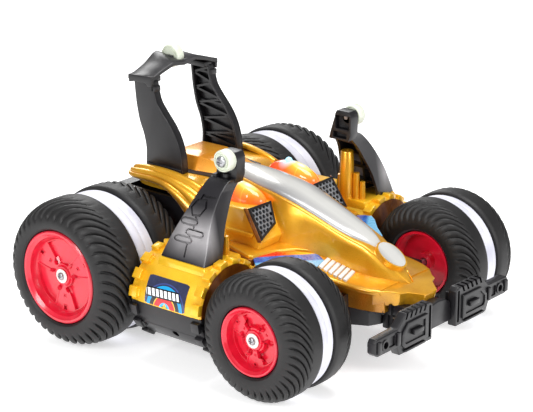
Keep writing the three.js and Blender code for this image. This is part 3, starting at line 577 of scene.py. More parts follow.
def pod_label():
    """Dark field, blue arcs around a wheel motif, red and yellow wedges, and pale slanted bars."""
    paint = Paint("pod_label")
    x, y, z = paint.axes()
    out = y.maths("ABSOLUTE") - POD_Y
    turn = (z - POD_Z).maths("ARCTAN2", out) * POD_R
    along = x - 81.5
    # Distance from a point at the lower edge gives the rings of the wheel motif.
    low = turn + 0.5
    distance = (along * along + low * low).maths("SQRT")
    field = paint.mix(paint.noise(5), colour("20253D"), colour("33395C"))
    rings = [
        (16.4, 17.2, "3B4A8C"),
        (12.6, 15.4, "12A0DC"),
        (9.6, 12.6, "0B0C10"),
        (8.9, 9.6, "FFC62A"),
        (4.7, 8.9, "E3202A"),
        (3, 4.7, "43BDF0"),
        (0, 3, "0B0C10"),
    ]
    for inner, outer, code in rings:
        field = paint.mix((distance > inner) * (distance < outer), field, colour(code))
    wedge_mark = (along.maths("ABSOLUTE") + low * 0.5 < 2.4) * (low < 5)
    field = paint.mix(wedge_mark, field, colour("FFB81E"))
    # Slanted bars take the place of lettering.
    slant = along + turn * 0.4
    cell = ((slant + 30) / 3.5).maths("FRACT")
    level = turn - along * 0.04
    inside = (slant > -13) * (slant < 15)
    strokes = (cell > 0.3) * (level > 7.2) * (level < 11.8) * inside
    shadow = (level > 6.3) * (level < 12.7) * (slant > -14) * (slant < 16)
    field = paint.mix(shadow, field, colour("08090C"))
    field = paint.mix(strokes, field, colour("F7F9FB"))
    return paint.surface(
        Base_Color=field,
        Roughness=0.22 + paint.noise(2) * 0.08,
        Coat_Weight=0.5,
        Coat_Roughness=0.04,
    )


SIDE_LABEL = side_label()
POD_LABEL = pod_label()
print("labels:", SIDE_LABEL.name, POD_LABEL.name)

# %% [markdown]
# Every new piece goes through the same small set of steps. A few bmesh helpers cover them: a ring
# of points, a skin bridged over several rings, an outline pushed into a plate, and a profile spun
# about an axle. `piece` closes the mesh, brings it to its place and hands it to the frame.

# %% Modelling helpers
AXES = {"x": Vector((1, 0, 0)), "y": Vector((0, 1, 0)), "z": Vector((0, 0, 1))}
RADIAL = {"x": Vector((0, 1, 0)), "y": Vector((1, 0, 0)), "z": Vector((1, 0, 0))}


def ring_of(bm, points, closed=True):
    """A loop of vertices and edges through the points."""
    verts = [bm.verts.new(p) for p in points]
    pairs = list(zip(verts, verts[1:]))
    if closed:
        pairs.append((verts[-1], verts[0]))
    return [bm.edges.new(pair) for pair in pairs]


def skin(rings):
    """A closed skin over rings that all have the same number of points."""
    bm = bmesh.new()
    loops = [ring_of(bm, ring) for ring in rings]
    for first, second in zip(loops, loops[1:]):
        bmesh.ops.bridge_loops(bm, edges=first + second)
    for loop in (loops[0], loops[-1]):
        bmesh.ops.edgeloop_fill(bm, edges=loop)
    bmesh.ops.recalc_face_normals(bm, faces=bm.faces)
    return bm


def plate(outline, push):
    """A flat outline of 3-D points pushed along a vector into a closed plate."""
    bm = bmesh.new()
    edges = ring_of(bm, outline)
    made = bmesh.ops.edgeloop_fill(bm, edges=edges)
    grown = bmesh.ops.extrude_face_region(bm, geom=made["faces"], use_keep_orig=True)
    moved = [g for g in grown["geom"] if isinstance(g, bmesh.types.BMVert)]
    bmesh.ops.translate(bm, vec=Vector(push), verts=moved)
    bmesh.ops.recalc_face_normals(bm, faces=bm.faces)
    return bm


def block(low, high):
    """A box between two corners."""
    bm = bmesh.new()
    low, high = Vector(low), Vector(high)
    size = Matrix.Diagonal((*(high - low), 1))
    place = Matrix.Translation((low + high) / 2) @ size
    bmesh.ops.create_cube(bm, size=1, matrix=place)
    return bm


def rounded(low, high, width, segments=2):
    """A block with rounded edges."""
    return soften(block(low, high), width, segments)


def turned(profile, axis, centre, steps):
    """A profile of (radius, place along the axis) spun about an axis through the centre."""
    bm = bmesh.new()
    centre = Vector(centre)
    points = [centre + RADIAL[axis] * r + AXES[axis] * t for r, t in profile]
    closed = profile[0][0] > 0
    edges = ring_of(bm, points, closed)
    geom = edges + list({v for e in edges for v in e.verts})
    bmesh.ops.spin(
        bm, geom=geom, cent=centre, axis=AXES[axis], angle=2 * math.pi, steps=steps, use_merge=True
    )
    bmesh.ops.remove_doubles(bm, verts=bm.verts, dist=1e-4)
    bmesh.ops.recalc_face_normals(bm, faces=bm.faces)
    return bm


def both_ways(half):
    """A profile from one end to the middle, followed by its mirror image."""
    return half + [(r, -t) for r, t in reversed(half) if t]


def soften(bm, width, segments=2, angle=28):
    """Rounds every edge that is sharper than the angle."""
    limit = math.radians(angle)
    sharp = [e for e in bm.edges if len(e.link_faces) == 2 and e.calc_face_angle(0) > limit]
    bmesh.ops.bevel(
        bm,
        geom=sharp,
        offset=width,
        offset_type="OFFSET",
        affect="EDGES",
        segments=segments,
        profile=0.5,
        material=-1,
        clamp_overlap=True,
    )
    return bm


def merged(*parts):
    """Several meshes as one; each stays a closed shell."""
    whole = parts[0]
    for part in parts[1:]:
        holder = bpy.data.meshes.new("holder")
        part.to_mesh(holder)
        part.free()
        whole.from_mesh(holder)
        bpy.data.meshes.remove(holder)
    return whole


def flipped(bm):
    """The mirror image on the other side of the car."""
    bmesh.ops.scale(bm, vec=(1, -1, 1), verts=bm.verts)
    bmesh.ops.reverse_faces(bm, faces=bm.faces)
    return bm


def mirrored(bm):
    """A left-hand mesh together with its mirror image."""
    return merged(bm, flipped(bm.copy()))


def carved(body, tool):
    """The body with the tool's shape cut out of it."""
    solids = []
    for part in (body, tool):
        mesh = bpy.data.meshes.new("carving")
        part.to_mesh(mesh)
        part.free()
        solid = bpy.data.objects.new("carving", mesh)
        bpy.context.scene.collection.objects.link(solid)
        solids.append(solid)
    cut = solids[0].modifiers.new("cut", "BOOLEAN")
    cut.operation = "DIFFERENCE"
    cut.solver = "EXACT"
    cut.object = solids[1]
    bpy.context.view_layer.update()
    result = bmesh.new()
    result.from_object(solids[0], bpy.context.evaluated_depsgraph_get())
    for solid in solids:
        mesh = solid.data
        bpy.data.objects.remove(solid)
        bpy.data.meshes.remove(mesh)
    return result


def smooth_rows(rows, parts):
    """Rows of numbers with more rows between them on a smooth curve."""
    rows = [tuple(row) for row in rows]
    padded = [rows[0], *rows, rows[-1]]
    result = []
    for a, b, c, d in zip(padded, padded[1:], padded[2:], padded[3:]):
        for k in range(parts):
            t = k / parts
            blend = [
                0.5 * (2 * q + (r - p) * t + (2 * p - 5 * q + 4 * r - s) * t**2)
                + 0.5 * (3 * q - p - 3 * r + s) * t**3
                for p, q, r, s in zip(a, b, c, d)
            ]
            result.append(tuple(blend))
    return [*result, rows[-1]]


def piece(bm, name, paint, replaces=(), body="chassis", sharp=38):
    """Turns a mesh in car millimetres into a finished piece that rides on a body."""
    bmesh.ops.transform(bm, matrix=CAR, verts=bm.verts)
    mesh = bpy.data.meshes.new(name)
    bm.to_mesh(mesh)
    bm.free()
    mesh.shade_smooth()
    mesh.set_sharp_from_angle(angle=math.radians(sharp))
    mesh.materials.append(paint)
    made = bpy.data.objects.new(name, mesh)
    bpy.context.scene.collection.objects.link(made)
    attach(made, body)
    if replaces:
        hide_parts(*replaces)
    return made


def pair(build, name, paint, replaces=(), body="chassis", sharp=38):
    """The left piece and its mirror image. {} in a name stands for the side."""
    for side in ("left", "right"):
        bm = build()
        if side == "right":
            flipped(bm)
        nodes = [node.format(side) for node in replaces]
        piece(bm, name.format(side), paint, nodes, body.format(side), sharp)


print("helpers ready")

# %% [markdown]
# A wheel is one drum with a half tyre on each side of a milky band. The tread is forty curved
# grooves. They could be cut one by one, but it is cleaner to spin a plain tyre, twist its rows so
# that the mesh itself follows the grooves, and then press the first columns of every pitch in.

# %% Tyres
class Wheel:
    """The sizes of one kind of wheel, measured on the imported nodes."""

    def __init__(self, place, x):
        self.place = place
        self.radius = half_size_of(f"{place}_tyre_outer_left").z
        self.rim = half_size_of(f"{place}_hub_left").z
        self.half_width = half_size_of(f"{place}_hub_left").y
        self.ring_half = half_size_of(f"{place}_light_ring_left").y
        self.ring_radius = half_size_of(f"{place}_light_ring_left").z
        self.centre = Vector((x, HALF_TRACK, self.radius))


REAR_WHEEL = Wheel("rear", 0)
FRONT_WHEEL = Wheel("front", FRONT)
TYRE_BULGE = 1.6
TREAD_PITCHES = 40
# Where the columns of one pitch stand, as shares of it, and how deep each is pressed.
TREAD_COLUMNS = [(0.0, 1.0), (0.12, 1.0), (0.24, 0.12), (0.42, -0.1), (0.66, -0.12), (0.88, 0.1)]
TREAD_DEPTH = 2
TREAD_SWEEP = math.radians(26)
SMOOTH_BAND = 12  # plain shoulder beside the milky band


def tyre_profile(wheel):
    """(radius, distance from the wheel's middle plane) from the milky band round to the rim."""
    start = wheel.ring_half + 0.4
    crown = wheel.radius
    flat_end = start + 9
    widest = wheel.half_width + TYRE_BULGE
    bead = wheel.rim + 4
    points = [(wheel.rim + 0.4, start), (crown - 4, start), (crown - 1.2, start + 0.5)]
    points += [(crown - 0.3, start + 1.6), (crown, start + 3.4), (crown, start + 5.5)]
    arc = 12
    for k in range(arc + 1):
        turn = math.pi / 2 * k / arc
        out = flat_end + (widest - flat_end) * math.sin(turn) ** 0.92
        up = bead + (crown - bead) * math.cos(turn) ** 0.86
        points.append((up, out))
    points += [(wheel.rim + 2, widest - 0.5), (wheel.rim + 0.7, wheel.half_width - 0.2)]
    return [*points, (wheel.rim + 0.4, wheel.half_width - 1.4)]


def tyre(wheel, side):
    profile = [(r, side * t) for r, t in tyre_profile(wheel)]
    steps = TREAD_PITCHES * len(TREAD_COLUMNS)
    bm = turned(profile, "y", wheel.centre, steps)
    pitch = 2 * math.pi / TREAD_PITCHES
    step = 2 * math.pi / steps
    band = wheel.ring_half + SMOOTH_BAND
    edge = wheel.half_width + TYRE_BULGE
    for v in bm.verts:
        spoke = v.co - wheel.centre
        out = abs(spoke.y)
        radius = math.hypot(spoke.x, spoke.z)
        column = round(math.atan2(spoke.z, spoke.x) / step) % steps
        share, press = TREAD_COLUMNS[column % len(TREAD_COLUMNS)]
        travel = min(1, max(0, (edge - out) / (edge - band)))
        if radius < wheel.rim + 3:
            travel = 0
        sweep = TREAD_SWEEP * travel**1.7
        angle = (column // len(TREAD_COLUMNS) + share) * pitch - sweep
        bite = min(1, travel * 9) * min(1, (1 - travel) * 7)
        reach = radius - TREAD_DEPTH * press * bite
        v.co.x = wheel.centre.x + reach * math.cos(angle)
        v.co.z = wheel.centre.z + reach * math.sin(angle)
    return bm


for wheel in (REAR_WHEEL, FRONT_WHEEL):
    for where, side in (("outer", 1), ("inner", -1)):
        name = f"{wheel.place}_tyre_{where}_{{}}"
        pair(
            lambda: tyre(wheel, side),
            "tread_" + name,
            RUBBER,
            [name],
            body=wheel.place + "_wheel_{}",
            sharp=30,
        )
print("tyres:", TREAD_PITCHES, "grooves each")

# %% [markdown]
# The milky band is a plain hoop, slightly crowned, with a fine moulding line round its middle.

# %% Milky bands
def milky_hoop(wheel):
    half = wheel.ring_half
    top = wheel.ring_radius
    inside = wheel.rim + 0.4
    profile = [(inside, -half), (top - 0.9, -half), (top - 0.2, -half + 0.7), (top, -half * 0.45)]
    profile += [(top, -0.35), (top - 0.25, 0)]  # the moulding line
    return turned(both_ways(profile), "y", wheel.centre, 96)


for wheel in (REAR_WHEEL, FRONT_WHEEL):
    name = wheel.place + "_light_ring_{}"
    pair(lambda: milky_hoop(wheel), "milky_" + name, MILKY, [name], body=wheel.place + "_wheel_{}")

# %% [markdown]
# The hub is a deep red dish with a rolled lip. Three wide spokes stand between three sunken
# fields, and each spoke is pierced by two slots. The dish is spun in narrow steps first. Then the
# faces of a field are picked by their angle and radius, given a raised rim with one inset and
# sunk with a second.

# %% Hubs
HUB_STEPS = 72
SPOKES = 3
FIELD_HALF = math.radians(41)
SLOT_HALF = math.radians(6)


HUB_BORE = 2.9
HUB_BOSS = 6.2
DISH_DEPTH = 6.5
BACK_DEPTH = 9


def hub_profile(wheel):
    """Outer dish from the boss to the lip, then the barrel and the plain inner dish."""
    rim = wheel.rim
    lip = wheel.half_width
    floor = lip - DISH_DEPTH
    boss = lip - 4.2
    slope = 1.2  # the floor rises a little towards the boss
    points = [(HUB_BORE, boss), (HUB_BOSS, boss), (6.8, floor + slope)]
    for share in (0.34, 0.42, 0.5, 0.58, 0.66, 0.74):
        points.append((rim * share, floor + slope * (0.8 - share)))
    points += [
        (rim * 0.8, floor + 0.1), (rim * 0.83, floor + 1.4), (rim * 0.86, lip - 1.4),
        (rim * 0.89, lip - 0.7), (rim * 0.93, lip + 0.5), (rim * 0.975, lip + 0.6),
        (rim, lip - 0.1), (rim, -lip), (rim * 0.93, -lip), (rim * 0.88, -lip + 2),
        (rim * 0.86, -lip + BACK_DEPTH), (HUB_BOSS, -lip + BACK_DEPTH),
        (HUB_BOSS, -lip + 4.5), (HUB_BORE, -lip + 4.5),
    ]
    return points


# [thickness, depth] of each inset: a raised rim, its top, and the wall down to the floor.
FIELD_INSETS = [(0.7, 0.55), (0.5, 0.0), (0.5, -1.9)]
SLOT_INSETS = [(0.45, 0.5), (0.35, 0.0), (0.15, -4.5)]


def sunk(bm, faces, insets):
    """Insets a group of faces several times, each time at its own depth."""
    for thickness, depth in insets if faces else ():
        bmesh.ops.inset_region(
            bm, faces=faces, thickness=thickness, depth=depth, use_even_offset=False
        )


def hub(wheel):
    bm = turned(hub_profile(wheel), "y", wheel.centre, HUB_STEPS)
    sector = 2 * math.pi / SPOKES

    def faces_between(inner, outer, half, turn):
        picked = []
        for face in bm.faces:
            spot = face.calc_center_median() - wheel.centre
            radius = math.hypot(spot.x, spot.z)
            if spot.y < 0 or not wheel.rim * inner < radius < wheel.rim * outer:
                continue
            off = (math.atan2(spot.z, spot.x) - turn + sector / 2) % sector - sector / 2
            if abs(off) < half and abs(face.normal.y) > 0.5:
                picked.append(face)
        return picked

    for k in range(SPOKES):
        middle = sector * k + math.pi / 2
        region = []
        for face in faces_between(0.26, 0.8, FIELD_HALF, middle):
            spot = face.calc_center_median() - wheel.centre
            angle = math.atan2(spot.z, spot.x) - middle
            if math.cos(angle) > 0.7:
                region.append(face)
        sunk(bm, region, FIELD_INSETS)
    for inner, outer in ((0.42, 0.52), (0.64, 0.8)):
        for k in range(SPOKES):
            middle = sector * (k + 0.5) + math.pi / 2
            slot = []
            for face in faces_between(inner, outer, SLOT_HALF, middle):
                spot = face.calc_center_median() - wheel.centre
                if math.cos(math.atan2(spot.z, spot.x) - middle) > 0.9:
                    slot.append(face)
            sunk(bm, slot, SLOT_INSETS)
    return bm


for wheel in (REAR_WHEEL, FRONT_WHEEL):
    name = wheel.place + "_hub_{}"
    pair(
        lambda: hub(wheel), "dished_" + name, RED, [name], body=wheel.place + "_wheel_{}", sharp=32
    )

# %% [markdown]
# A pan-head screw with a white washer holds each wheel. The cross in its head is cut with two
# thin blocks, which is what the driver bit looks like.

# %% Axle screws
def cross_bit(centre, width, reach, low, high):
    x, z = centre.x, centre.z
    upright = block((x - width, low, z - reach), (x + width, high, z + reach))
    return block((x - reach, low, z - width), (x + reach, high, z + width)), upright


def screw_head(centre, face, radius):
    profile = [(0, face - 0.2), (radius, face - 0.2), (radius, face + 0.5)]
    for k in range(1, 5):
        turn = math.pi / 2 * k / 4
        profile.append((radius * math.cos(turn), face + 0.5 + radius * 0.45 * math.sin(turn)))
    profile[-1] = (0, profile[-1][1])
    head = turned(profile, "y", (centre.x, 0, centre.z), 32)
    for bit in cross_bit(centre, radius * 0.13, radius * 0.6, face + 0.5, face + radius):
        head = carved(head, bit)
    return head


def washer(centre, face):
    profile = [(2.2, face - 1), (4.5, face - 1), (4.8, face - 0.7), (4.8, face - 0.3)]
    profile += [(4.4, face), (2.9, face), (2.6, face - 0.25), (2.2, face - 0.25)]
    return turned(profile, "y", (centre.x, 0, centre.z), 40)


for wheel, body in ((REAR_WHEEL, "rear_wheel_{}"), (FRONT_WHEEL, "chassis")):
    face = HALF_TRACK + wheel.half_width - 3
    node = wheel.place + "_axle_screw_{}"
    pair(lambda: screw_head(wheel.centre, face, 2.5), "cross_" + node, STEEL, [node], body=body)
    pair(lambda: washer(wheel.centre, face), wheel.place + "_washer_{}", WASHER_WHITE, body=body)
print("hubs and axle screws done")

# %% [markdown]
# The body is one moulding on the real car. Here it is made of the surfaces that read as separate
# shapes: the long spine that carries the canopy, the deck with its overhanging lip, the raised
# wedge, the intake boxes and the rear deck. The spine and the deck are skins over cross sections,
# because each changes its width and height all along the car.

# %% Spine and deck of the body
DECK_Z = 67
SPLIT_Z = 40
# [x, height of the canopy's edge, half width of the canopy, of the spine's top, of its foot]
SPINE = [
    (47, 106.4, 5, 12, 24),
    (56, 104.4, 11, 14, 25),
    (68, 103, 13.8, 16, 26),
    (78, 101.7, 15.3, 17.5, 27),
    (92, 99.6, 15.7, 18, 27),
    (105, 96.5, 15.2, 17.5, 26.5),
    (117, 92.6, 14.2, 16.5, 22.5),
    (129, 88.3, 13.2, 15.5, 19),
    (140, 84.2, 12.2, 14.6, 17.5),
    (151, 80.4, 10.2, 13, 16),
    (160, 77.6, 6.5, 11.4, 14),
    (168, 73.6, 2, 9.8, 12.6),
    (178, 67.6, 0.5, 7, 9.6),
    (187, 60.4, 0.5, 4, 6),
    (193, 55.4, 0.5, 1.4, 2),
]
SPINE_FOOT = 54


def across(x, half):
    """A ring across the car, from the corners of its left half."""
    left = [(x, y, z) for y, z in half]
    right = [(x, -y, z) for y, z in reversed(half)]
    return [*left, *right]


def spine():
    rings = []
    for x, z, _, top, foot in smooth_rows(SPINE, 4):
        spread, drop = foot - top, z - SPINE_FOOT
        half = [
            (top * 0.45, z - 0.3), (top - 1.3, z - 0.5), (top - 0.3, z - 0.9),
            (top + 0.35, z - 2), (top + spread * 0.3 + 0.3, z - drop * 0.2),
            (top + spread * 0.62, z - drop * 0.42), (top + spread * 0.86, z - drop * 0.66),
            (foot, z - drop * 0.84), (foot + 0.6, SPINE_FOOT),
        ]
        rings.append(across(x, half))
    return skin(rings)


piece(spine(), "body_spine", GOLD, ["body_shell"], sharp=60)

# [x, half width of the lip, its height, height of the skirt's foot]
DECK = [
    (46.5, 49, DECK_Z, SPLIT_Z),
    (104, 49, DECK_Z, SPLIT_Z),
    (110, 49.4, DECK_Z, SPLIT_Z),
    (112, 62, 66.5, SPLIT_Z),
    (115, 63, 66.3, SPLIT_Z),
    (119, 59.5, 66, SPLIT_Z),
    (128, 50.5, 65, SPLIT_Z),
    (139.5, 42, 63, SPLIT_Z),
    (150, 37, 60.3, SPLIT_Z),
    (160, 34.4, 58.3, SPLIT_Z),
    (172, 33, 57.3, SPLIT_Z),
    (181, 30.6, 56.8, SPLIT_Z),
    (187, 27.6, 56.4, SPLIT_Z),
]
LIP = 3


def deck_ring(x, half, top, foot):
    skirt = max(half - 5, half * 0.72)
    narrow = min(skirt, 44)
    return across(
        x,
        [
            (half * 0.5, top + 0.35), (half - 3, top + 0.25), (half - 1.1, top),
            (half - 0.25, top - 0.7), (half, top - 1.7), (half - 0.6, top - LIP),
            (half - 1.6, top - LIP - 0.4), (narrow, top - LIP - 1.2),
            (narrow - 0.2, top - LIP - 3), (narrow - 1.2, foot),
        ],
    )


deck_rings = [deck_ring(*row) for row in DECK[:3]]
deck_rings += [deck_ring(*row) for row in smooth_rows(DECK[3:], 4)]
piece(skin(deck_rings), "body_deck", GOLD, sharp=40)

# %% [markdown]
# In front of the deck the nose narrows to a beak: a flat prow with cut corners and an upright
# front face. It is all flat facets, so it is a plate with its edges rounded.

# %% Beak
BEAK = [
    (183, 29.5), (187, 27.5), (190, 24.5), (194, 20.6), (197.5, 19), (199, 14), (208, 6.5),
]


def beak():
    outline = [(x, y, 56.2) for x, y in BEAK] + [(x, -y, 56.2) for x, y in reversed(BEAK)]
    bm = plate(outline, (0, 0, -11.6))
    for v in bm.verts:
        ahead = max(0, v.co.x - 190)
        low = v.co.z < 50
        v.co.z -= ahead * (0.03 if low else 0.17)
        if low:
            v.co.x -= 2.2 if v.co.x > 200 else 3.5
            v.co.y *= 0.86
    return soften(bm, 0.7, 3, 20)


piece(beak(), "body_beak", GOLD, sharp=30)

# %% [markdown]
# The wedge is the raised field under each intake. A thin step below its edge, brown with painted
# shade, is the shadow line that sets it off from the deck. Both are the same outline, and the step
# is a little wider.

# %% Wedges, labels and vents
WEDGE_TOP = 71.2
WEDGE = [
    (77, 40), (81, 52.2), (91, 55.4), (104, 58), (106.4, 56.6), (107.4, 47), (110, 36.5),
    (117, 24.8), (128.5, 16.4), (127, 14.5), (100, 20), (84, 26),
]


def grown(outline, by):
    """The outline with every point moved outwards from its middle."""
    middle = Vector((sum(x for x, _ in outline), sum(y for _, y in outline))) / len(outline)
    moved = []
    for x, y in outline:
        away = Vector((x, y)) - middle
        moved.append(tuple(middle + away * (1 + by / away.length)))
    return moved


def wedge(outline, top, bottom, edge):
    bm = plate([(x, y, top) for x, y in outline], (0, 0, bottom - top))
    for v in bm.verts:
        v.co.z -= max(0, v.co.x - 92) * 0.115
    return soften(bm, edge, 3, 20)


pair(lambda: wedge(WEDGE, WEDGE_TOP, 64, 0.9), "wedge_{}", GOLD, sharp=30)
pair(
    lambda: wedge(grown(WEDGE, 1.1), WEDGE_TOP - 2.1, 63, 0.4),
    "wedge_step_{}",
    GOLD_SHADE,
    sharp=30,
)


LABEL = [
    (103, 52), (108, 57.2), (113.6, 62.2), (119.5, 58), (128, 49.3), (138, 41.8), (140.6, 33.5),
    (138, 21.5), (129, 17.6), (118, 25.5), (110, 37), (106, 50),
]


def on_deck(outline, lift, thick):
    """A thin sheet laid on the deck, whose height falls towards the front."""
    bm = plate([(x, y, 0) for x, y in outline], (0, 0, -thick))
    bmesh.ops.subdivide_edges(bm, edges=bm.edges, cuts=2, use_grid_fill=True)
    for v in bm.verts:
        v.co.z += deck_height(v.co.x) + lift
    return bm


def deck_height(x):
    for (x0, _, z0, _), (x1, _, z1, _) in zip(DECK, DECK[1:]):
        if x0 <= x <= x1:
            return z0 + (z1 - z0) * (x - x0) / (x1 - x0)
    return DECK[-1][2]


pair(lambda: on_deck(LABEL, 0.75, 1.4), "side_label_{}", SIDE_LABEL)

VENTS = 6
VENT_START = (136.5, 141)  # X of the first bar at its inner and its outer end
VENT_STEP = 3.9


def vents():
    bars = []
    for k in range(VENTS):
        inner, outer = (start + k * VENT_STEP for start in VENT_START)
        near = 15.2 + 0.1 * k
        far = 31.5 - max(0, k - 3) * 0.2
        outline = [(inner, near), (inner + 2.7, near), (outer + 2.7, far), (outer, far)]
        bars.append(soften(on_deck(outline, 1.5, 1.6), 0.35, 2, 40))
    return merged(*bars)


pair(vents, "vent_bars_{}", VENT_WHITE)
print("wedges, labels and", VENTS, "vent bars a side")

# %% [markdown]
# Each intake is a box with a slanted mouth. A perforated grey sheet in a thin black frame closes
# it. The holes are hexagonal prisms in offset rows, all cut in one go.

# %% Intakes and grilles
INTAKE_OUTER = 45
MOUTH_TOP = Vector((91.5, 0, 95))
MOUTH_FOOT = Vector((104, 0, 75.4))
mouth_run = (MOUTH_FOOT - MOUTH_TOP).normalized()
mouth_out = Vector((-mouth_run.z, 0, mouth_run.x))
MOUTH = [(21.6, 0.4), (44.2, 0), (45.2, 22.6), (26.2, 15.6)]  # y, distance down the slope


def on_mouth(y, down, out=0):
    return MOUTH_TOP + mouth_run * down + mouth_out * out + Vector((0, y, 0))


def intake_box():
    side = [(47, 94.4), (91, 94.8), (104, 75), (101, 66), (47, 66)]
    bm = plate([(x, 20, z) for x, z in side], (0, INTAKE_OUTER - 20, 0))
    soften(bm, 1.0, 3, 20)
    ledge = plate([(x, 44, z) for x, z in ((60, 80), (99, 80), (97, 77), (60, 77))], (0, 3.2, 0))
    fin = block((62, 44, 68), (86, 46.6, 71))
    return merged(bm, soften(ledge, 0.8, 2), soften(fin, 0.7, 2))


pair(intake_box, "intake_box_{}", LIT_INTAKE_GOLD, sharp=30)


def mouth_edge():
    """The bevel that frames the mouth on its outer side, brown with painted shade."""
    (y0, d0), (y1, d1) = MOUTH[1:3]
    start, end = on_mouth(y0 + 0.2, d0 - 0.6), on_mouth(y1 + 0.2, d1 + 1)
    back = Vector((-1.6, 1.5, 0))
    return soften(plate([start, end, end + back, start + back], mouth_out * 1.1), 0.3, 2)


pair(mouth_edge, "intake_edge_{}", GOLD_SHADE)


def grille_frame():
    bars = []
    for (y0, d0), (y1, d1) in zip(MOUTH, MOUTH[1:] + MOUTH[:1]):
        start, end = on_mouth(y0, d0), on_mouth(y1, d1)
        run = (end - start).normalized()
        inward = run.cross(mouth_out)
        centre = sum((on_mouth(y, d) for y, d in MOUTH), Vector()) / len(MOUTH)
        if inward.dot(centre - start) < 0:
            inward = -inward
        start, end = start - run * 0.2, end + run * 0.2
        outline = [start, end, end + inward * 1.7 - run * 0.7, start + inward * 1.7 + run * 0.7]
        bars.append(plate(outline, mouth_out * 1.9))
    return soften(merged(*bars), 0.25, 2)


HOLE_RADIUS = 1.5
HOLE_PITCH = 3.5
HOLE_ROWS = 7
FIRST_HOLE = (23.2, 2.3)  # y, distance down the slope


def inside_mouth(y, down):
    """Whether a hole at this spot keeps clear of the frame's slanted sides."""
    corner_y, corner = MOUTH[3]
    first = MOUTH[0][0]
    if down < corner:
        inner = first + (down / corner) * (corner_y - first)
    else:
        inner = corner_y + (down - corner) * 2.7
    outer = MOUTH[1][0] + (down + 1.2) * 0.045
    return inner + 2.6 < y < outer - 1.9


def grille_sheet():
    sheet = plate([on_mouth(y, d, 0.5) for y, d in MOUTH], mouth_out * 0.9)
    holes = []
    tilt = mouth_out.to_track_quat("Z", "Y").to_matrix().to_4x4()
    for row in range(HOLE_ROWS):
        for column in range(HOLE_ROWS):
            y = FIRST_HOLE[0] + HOLE_PITCH * (column + (0.5 if row % 2 else 0))
            down = FIRST_HOLE[1] + row * HOLE_PITCH * 0.87
            if not inside_mouth(y, down):
                continue
            hole = bmesh.new()
            place = Matrix.Translation(on_mouth(y, down, 1)) @ tilt
            size = {"radius1": HOLE_RADIUS, "radius2": HOLE_RADIUS, "depth": 4}
            bmesh.ops.create_cone(hole, cap_ends=True, segments=6, matrix=place, **size)
            holes.append(hole)
    return carved(sheet, merged(*holes))


# Painted shade: a dark sheet behind the holes stands in for the shade inside the intake.
def grille_back():
    corners = [on_mouth(y, d, 0.1) for y, d in MOUTH]
    return plate(corners, mouth_out * 0.3)


GRILLE = "intake_grille_{}"
pair(grille_frame, "grille_frame_{}", BLACK, [GRILLE])
pair(grille_sheet, "grille_sheet_{}", MESH_GREY, sharp=20)
pair(grille_back, "grille_back_{}", SHADE_BLACK)

# %% [markdown]
# The canopy is a long drop of pearl lacquer that rises over the spine and dies out before the
# nose window. A skin over a dozen sections with a high crown gives its soft highlight.

# %% Canopy and nose window
CANOPY_CROWN = 3.4


def canopy():
    rings = []
    rows = [row for row in SPINE if row[2] > 1.5]
    for x, z, half, _, _ in smooth_rows(rows, 4):
        crown = CANOPY_CROWN * min(1, half / 11)
        arch = []
        for k in range(7):
            turn = math.pi / 2 * (k + 0.5) / 7
            arch.append((half * math.sin(turn), z - 0.2 + crown * math.cos(turn)))
        rings.append(across(x, [*arch, (half, z - 0.6), (half - 0.3, z - 1.2)]))
    return skin(rings)


piece(canopy(), "canopy_drop", PEARL, ["canopy"], sharp=70)

WINDOW = Vector((175.8, 0, 71.4))
WINDOW_SIZE = (10.8, 8.2)
WINDOW_TILT = math.radians(32)


def oval(grow, low, high, dome):
    """A flat oval button that lies along the slope of the nose."""
    long, wide = (size + grow for size in WINDOW_SIZE)
    bm = bmesh.new()
    bmesh.ops.create_circle(bm, cap_ends=True, segments=64, radius=1)
    bmesh.ops.inset_region(bm, faces=bm.faces, thickness=0.12, depth=0)
    made = bmesh.ops.extrude_face_region(bm, geom=bm.faces[:])
    top = [g for g in made["geom"] if isinstance(g, bmesh.types.BMVert)]
    bmesh.ops.translate(bm, vec=(0, 0, 1), verts=top)
    for v in bm.verts:
        inner = v.co.xy.length < 0.95
        v.co.z = low if v.co.z < 0.5 else high + (dome if inner else 0)
        v.co.x *= long * (1 + 0.06 * v.co.x)
        v.co.y *= wide
    turn = Matrix.Rotation(WINDOW_TILT, 4, "Y")
    bmesh.ops.transform(bm, matrix=Matrix.Translation(WINDOW) @ turn, verts=bm.verts)
    bmesh.ops.recalc_face_normals(bm, faces=bm.faces)
    return bm


piece(oval(0, -2.2, 0.5, 0.5), "nose_oval", PEARL, ["nose_window"], sharp=50)
piece(oval(1.1, -3.4, 0.1, 0.15), "nose_oval_rim", GOLD, sharp=50)
print("canopy and nose window done")

# %% [markdown]
# Behind the canopy a flat deck carries the roll bar. A faceted hump rises between the two legs,
# and on each side a ridged fairing leans out over the inner rear tyre.

# %% Rear deck, hump and fairings
DECK_TOP = 101.5
REAR_DECK = [
    (-15.5, 25, 98.4),
    (-13.5, 32, 100.2),
    (-8, 39, DECK_TOP),
    (4, 42, DECK_TOP),
    (34, 42, DECK_TOP),
    (44, 41, 100.3),
    (50, 38, 97.6),
]


def rear_deck():
    rings = []
    for x, half, top in smooth_rows(REAR_DECK, 3):
        rings.append(across(x, [(half - 2, top), (half, top - 1.2), (half, 92), (half - 3, 90.6)]))
    return soften(skin(rings), 0.8, 3, 30)


piece(rear_deck(), "rear_deck", GOLD, sharp=35)

HUMP = [
    (-15.5, 8, 101.5, 13),
    (-13, 11, 104.4, 17),
    (1, 15.5, 110.2, 22.5),
    (24, 15, 110.6, 21),
    (47, 10.5, 106.8, 15.5),
    (51, 9.5, 105.8, 14.5),
]


def hump():
    rings = []
    for x, half, top, foot in HUMP:
        rings.append(across(x, [(half, top), (foot, DECK_TOP - 1.4)]))
    return soften(skin(rings), 1.0, 3, 8)


piece(hump(), "rear_hump", HUMP_ORANGE, sharp=20)


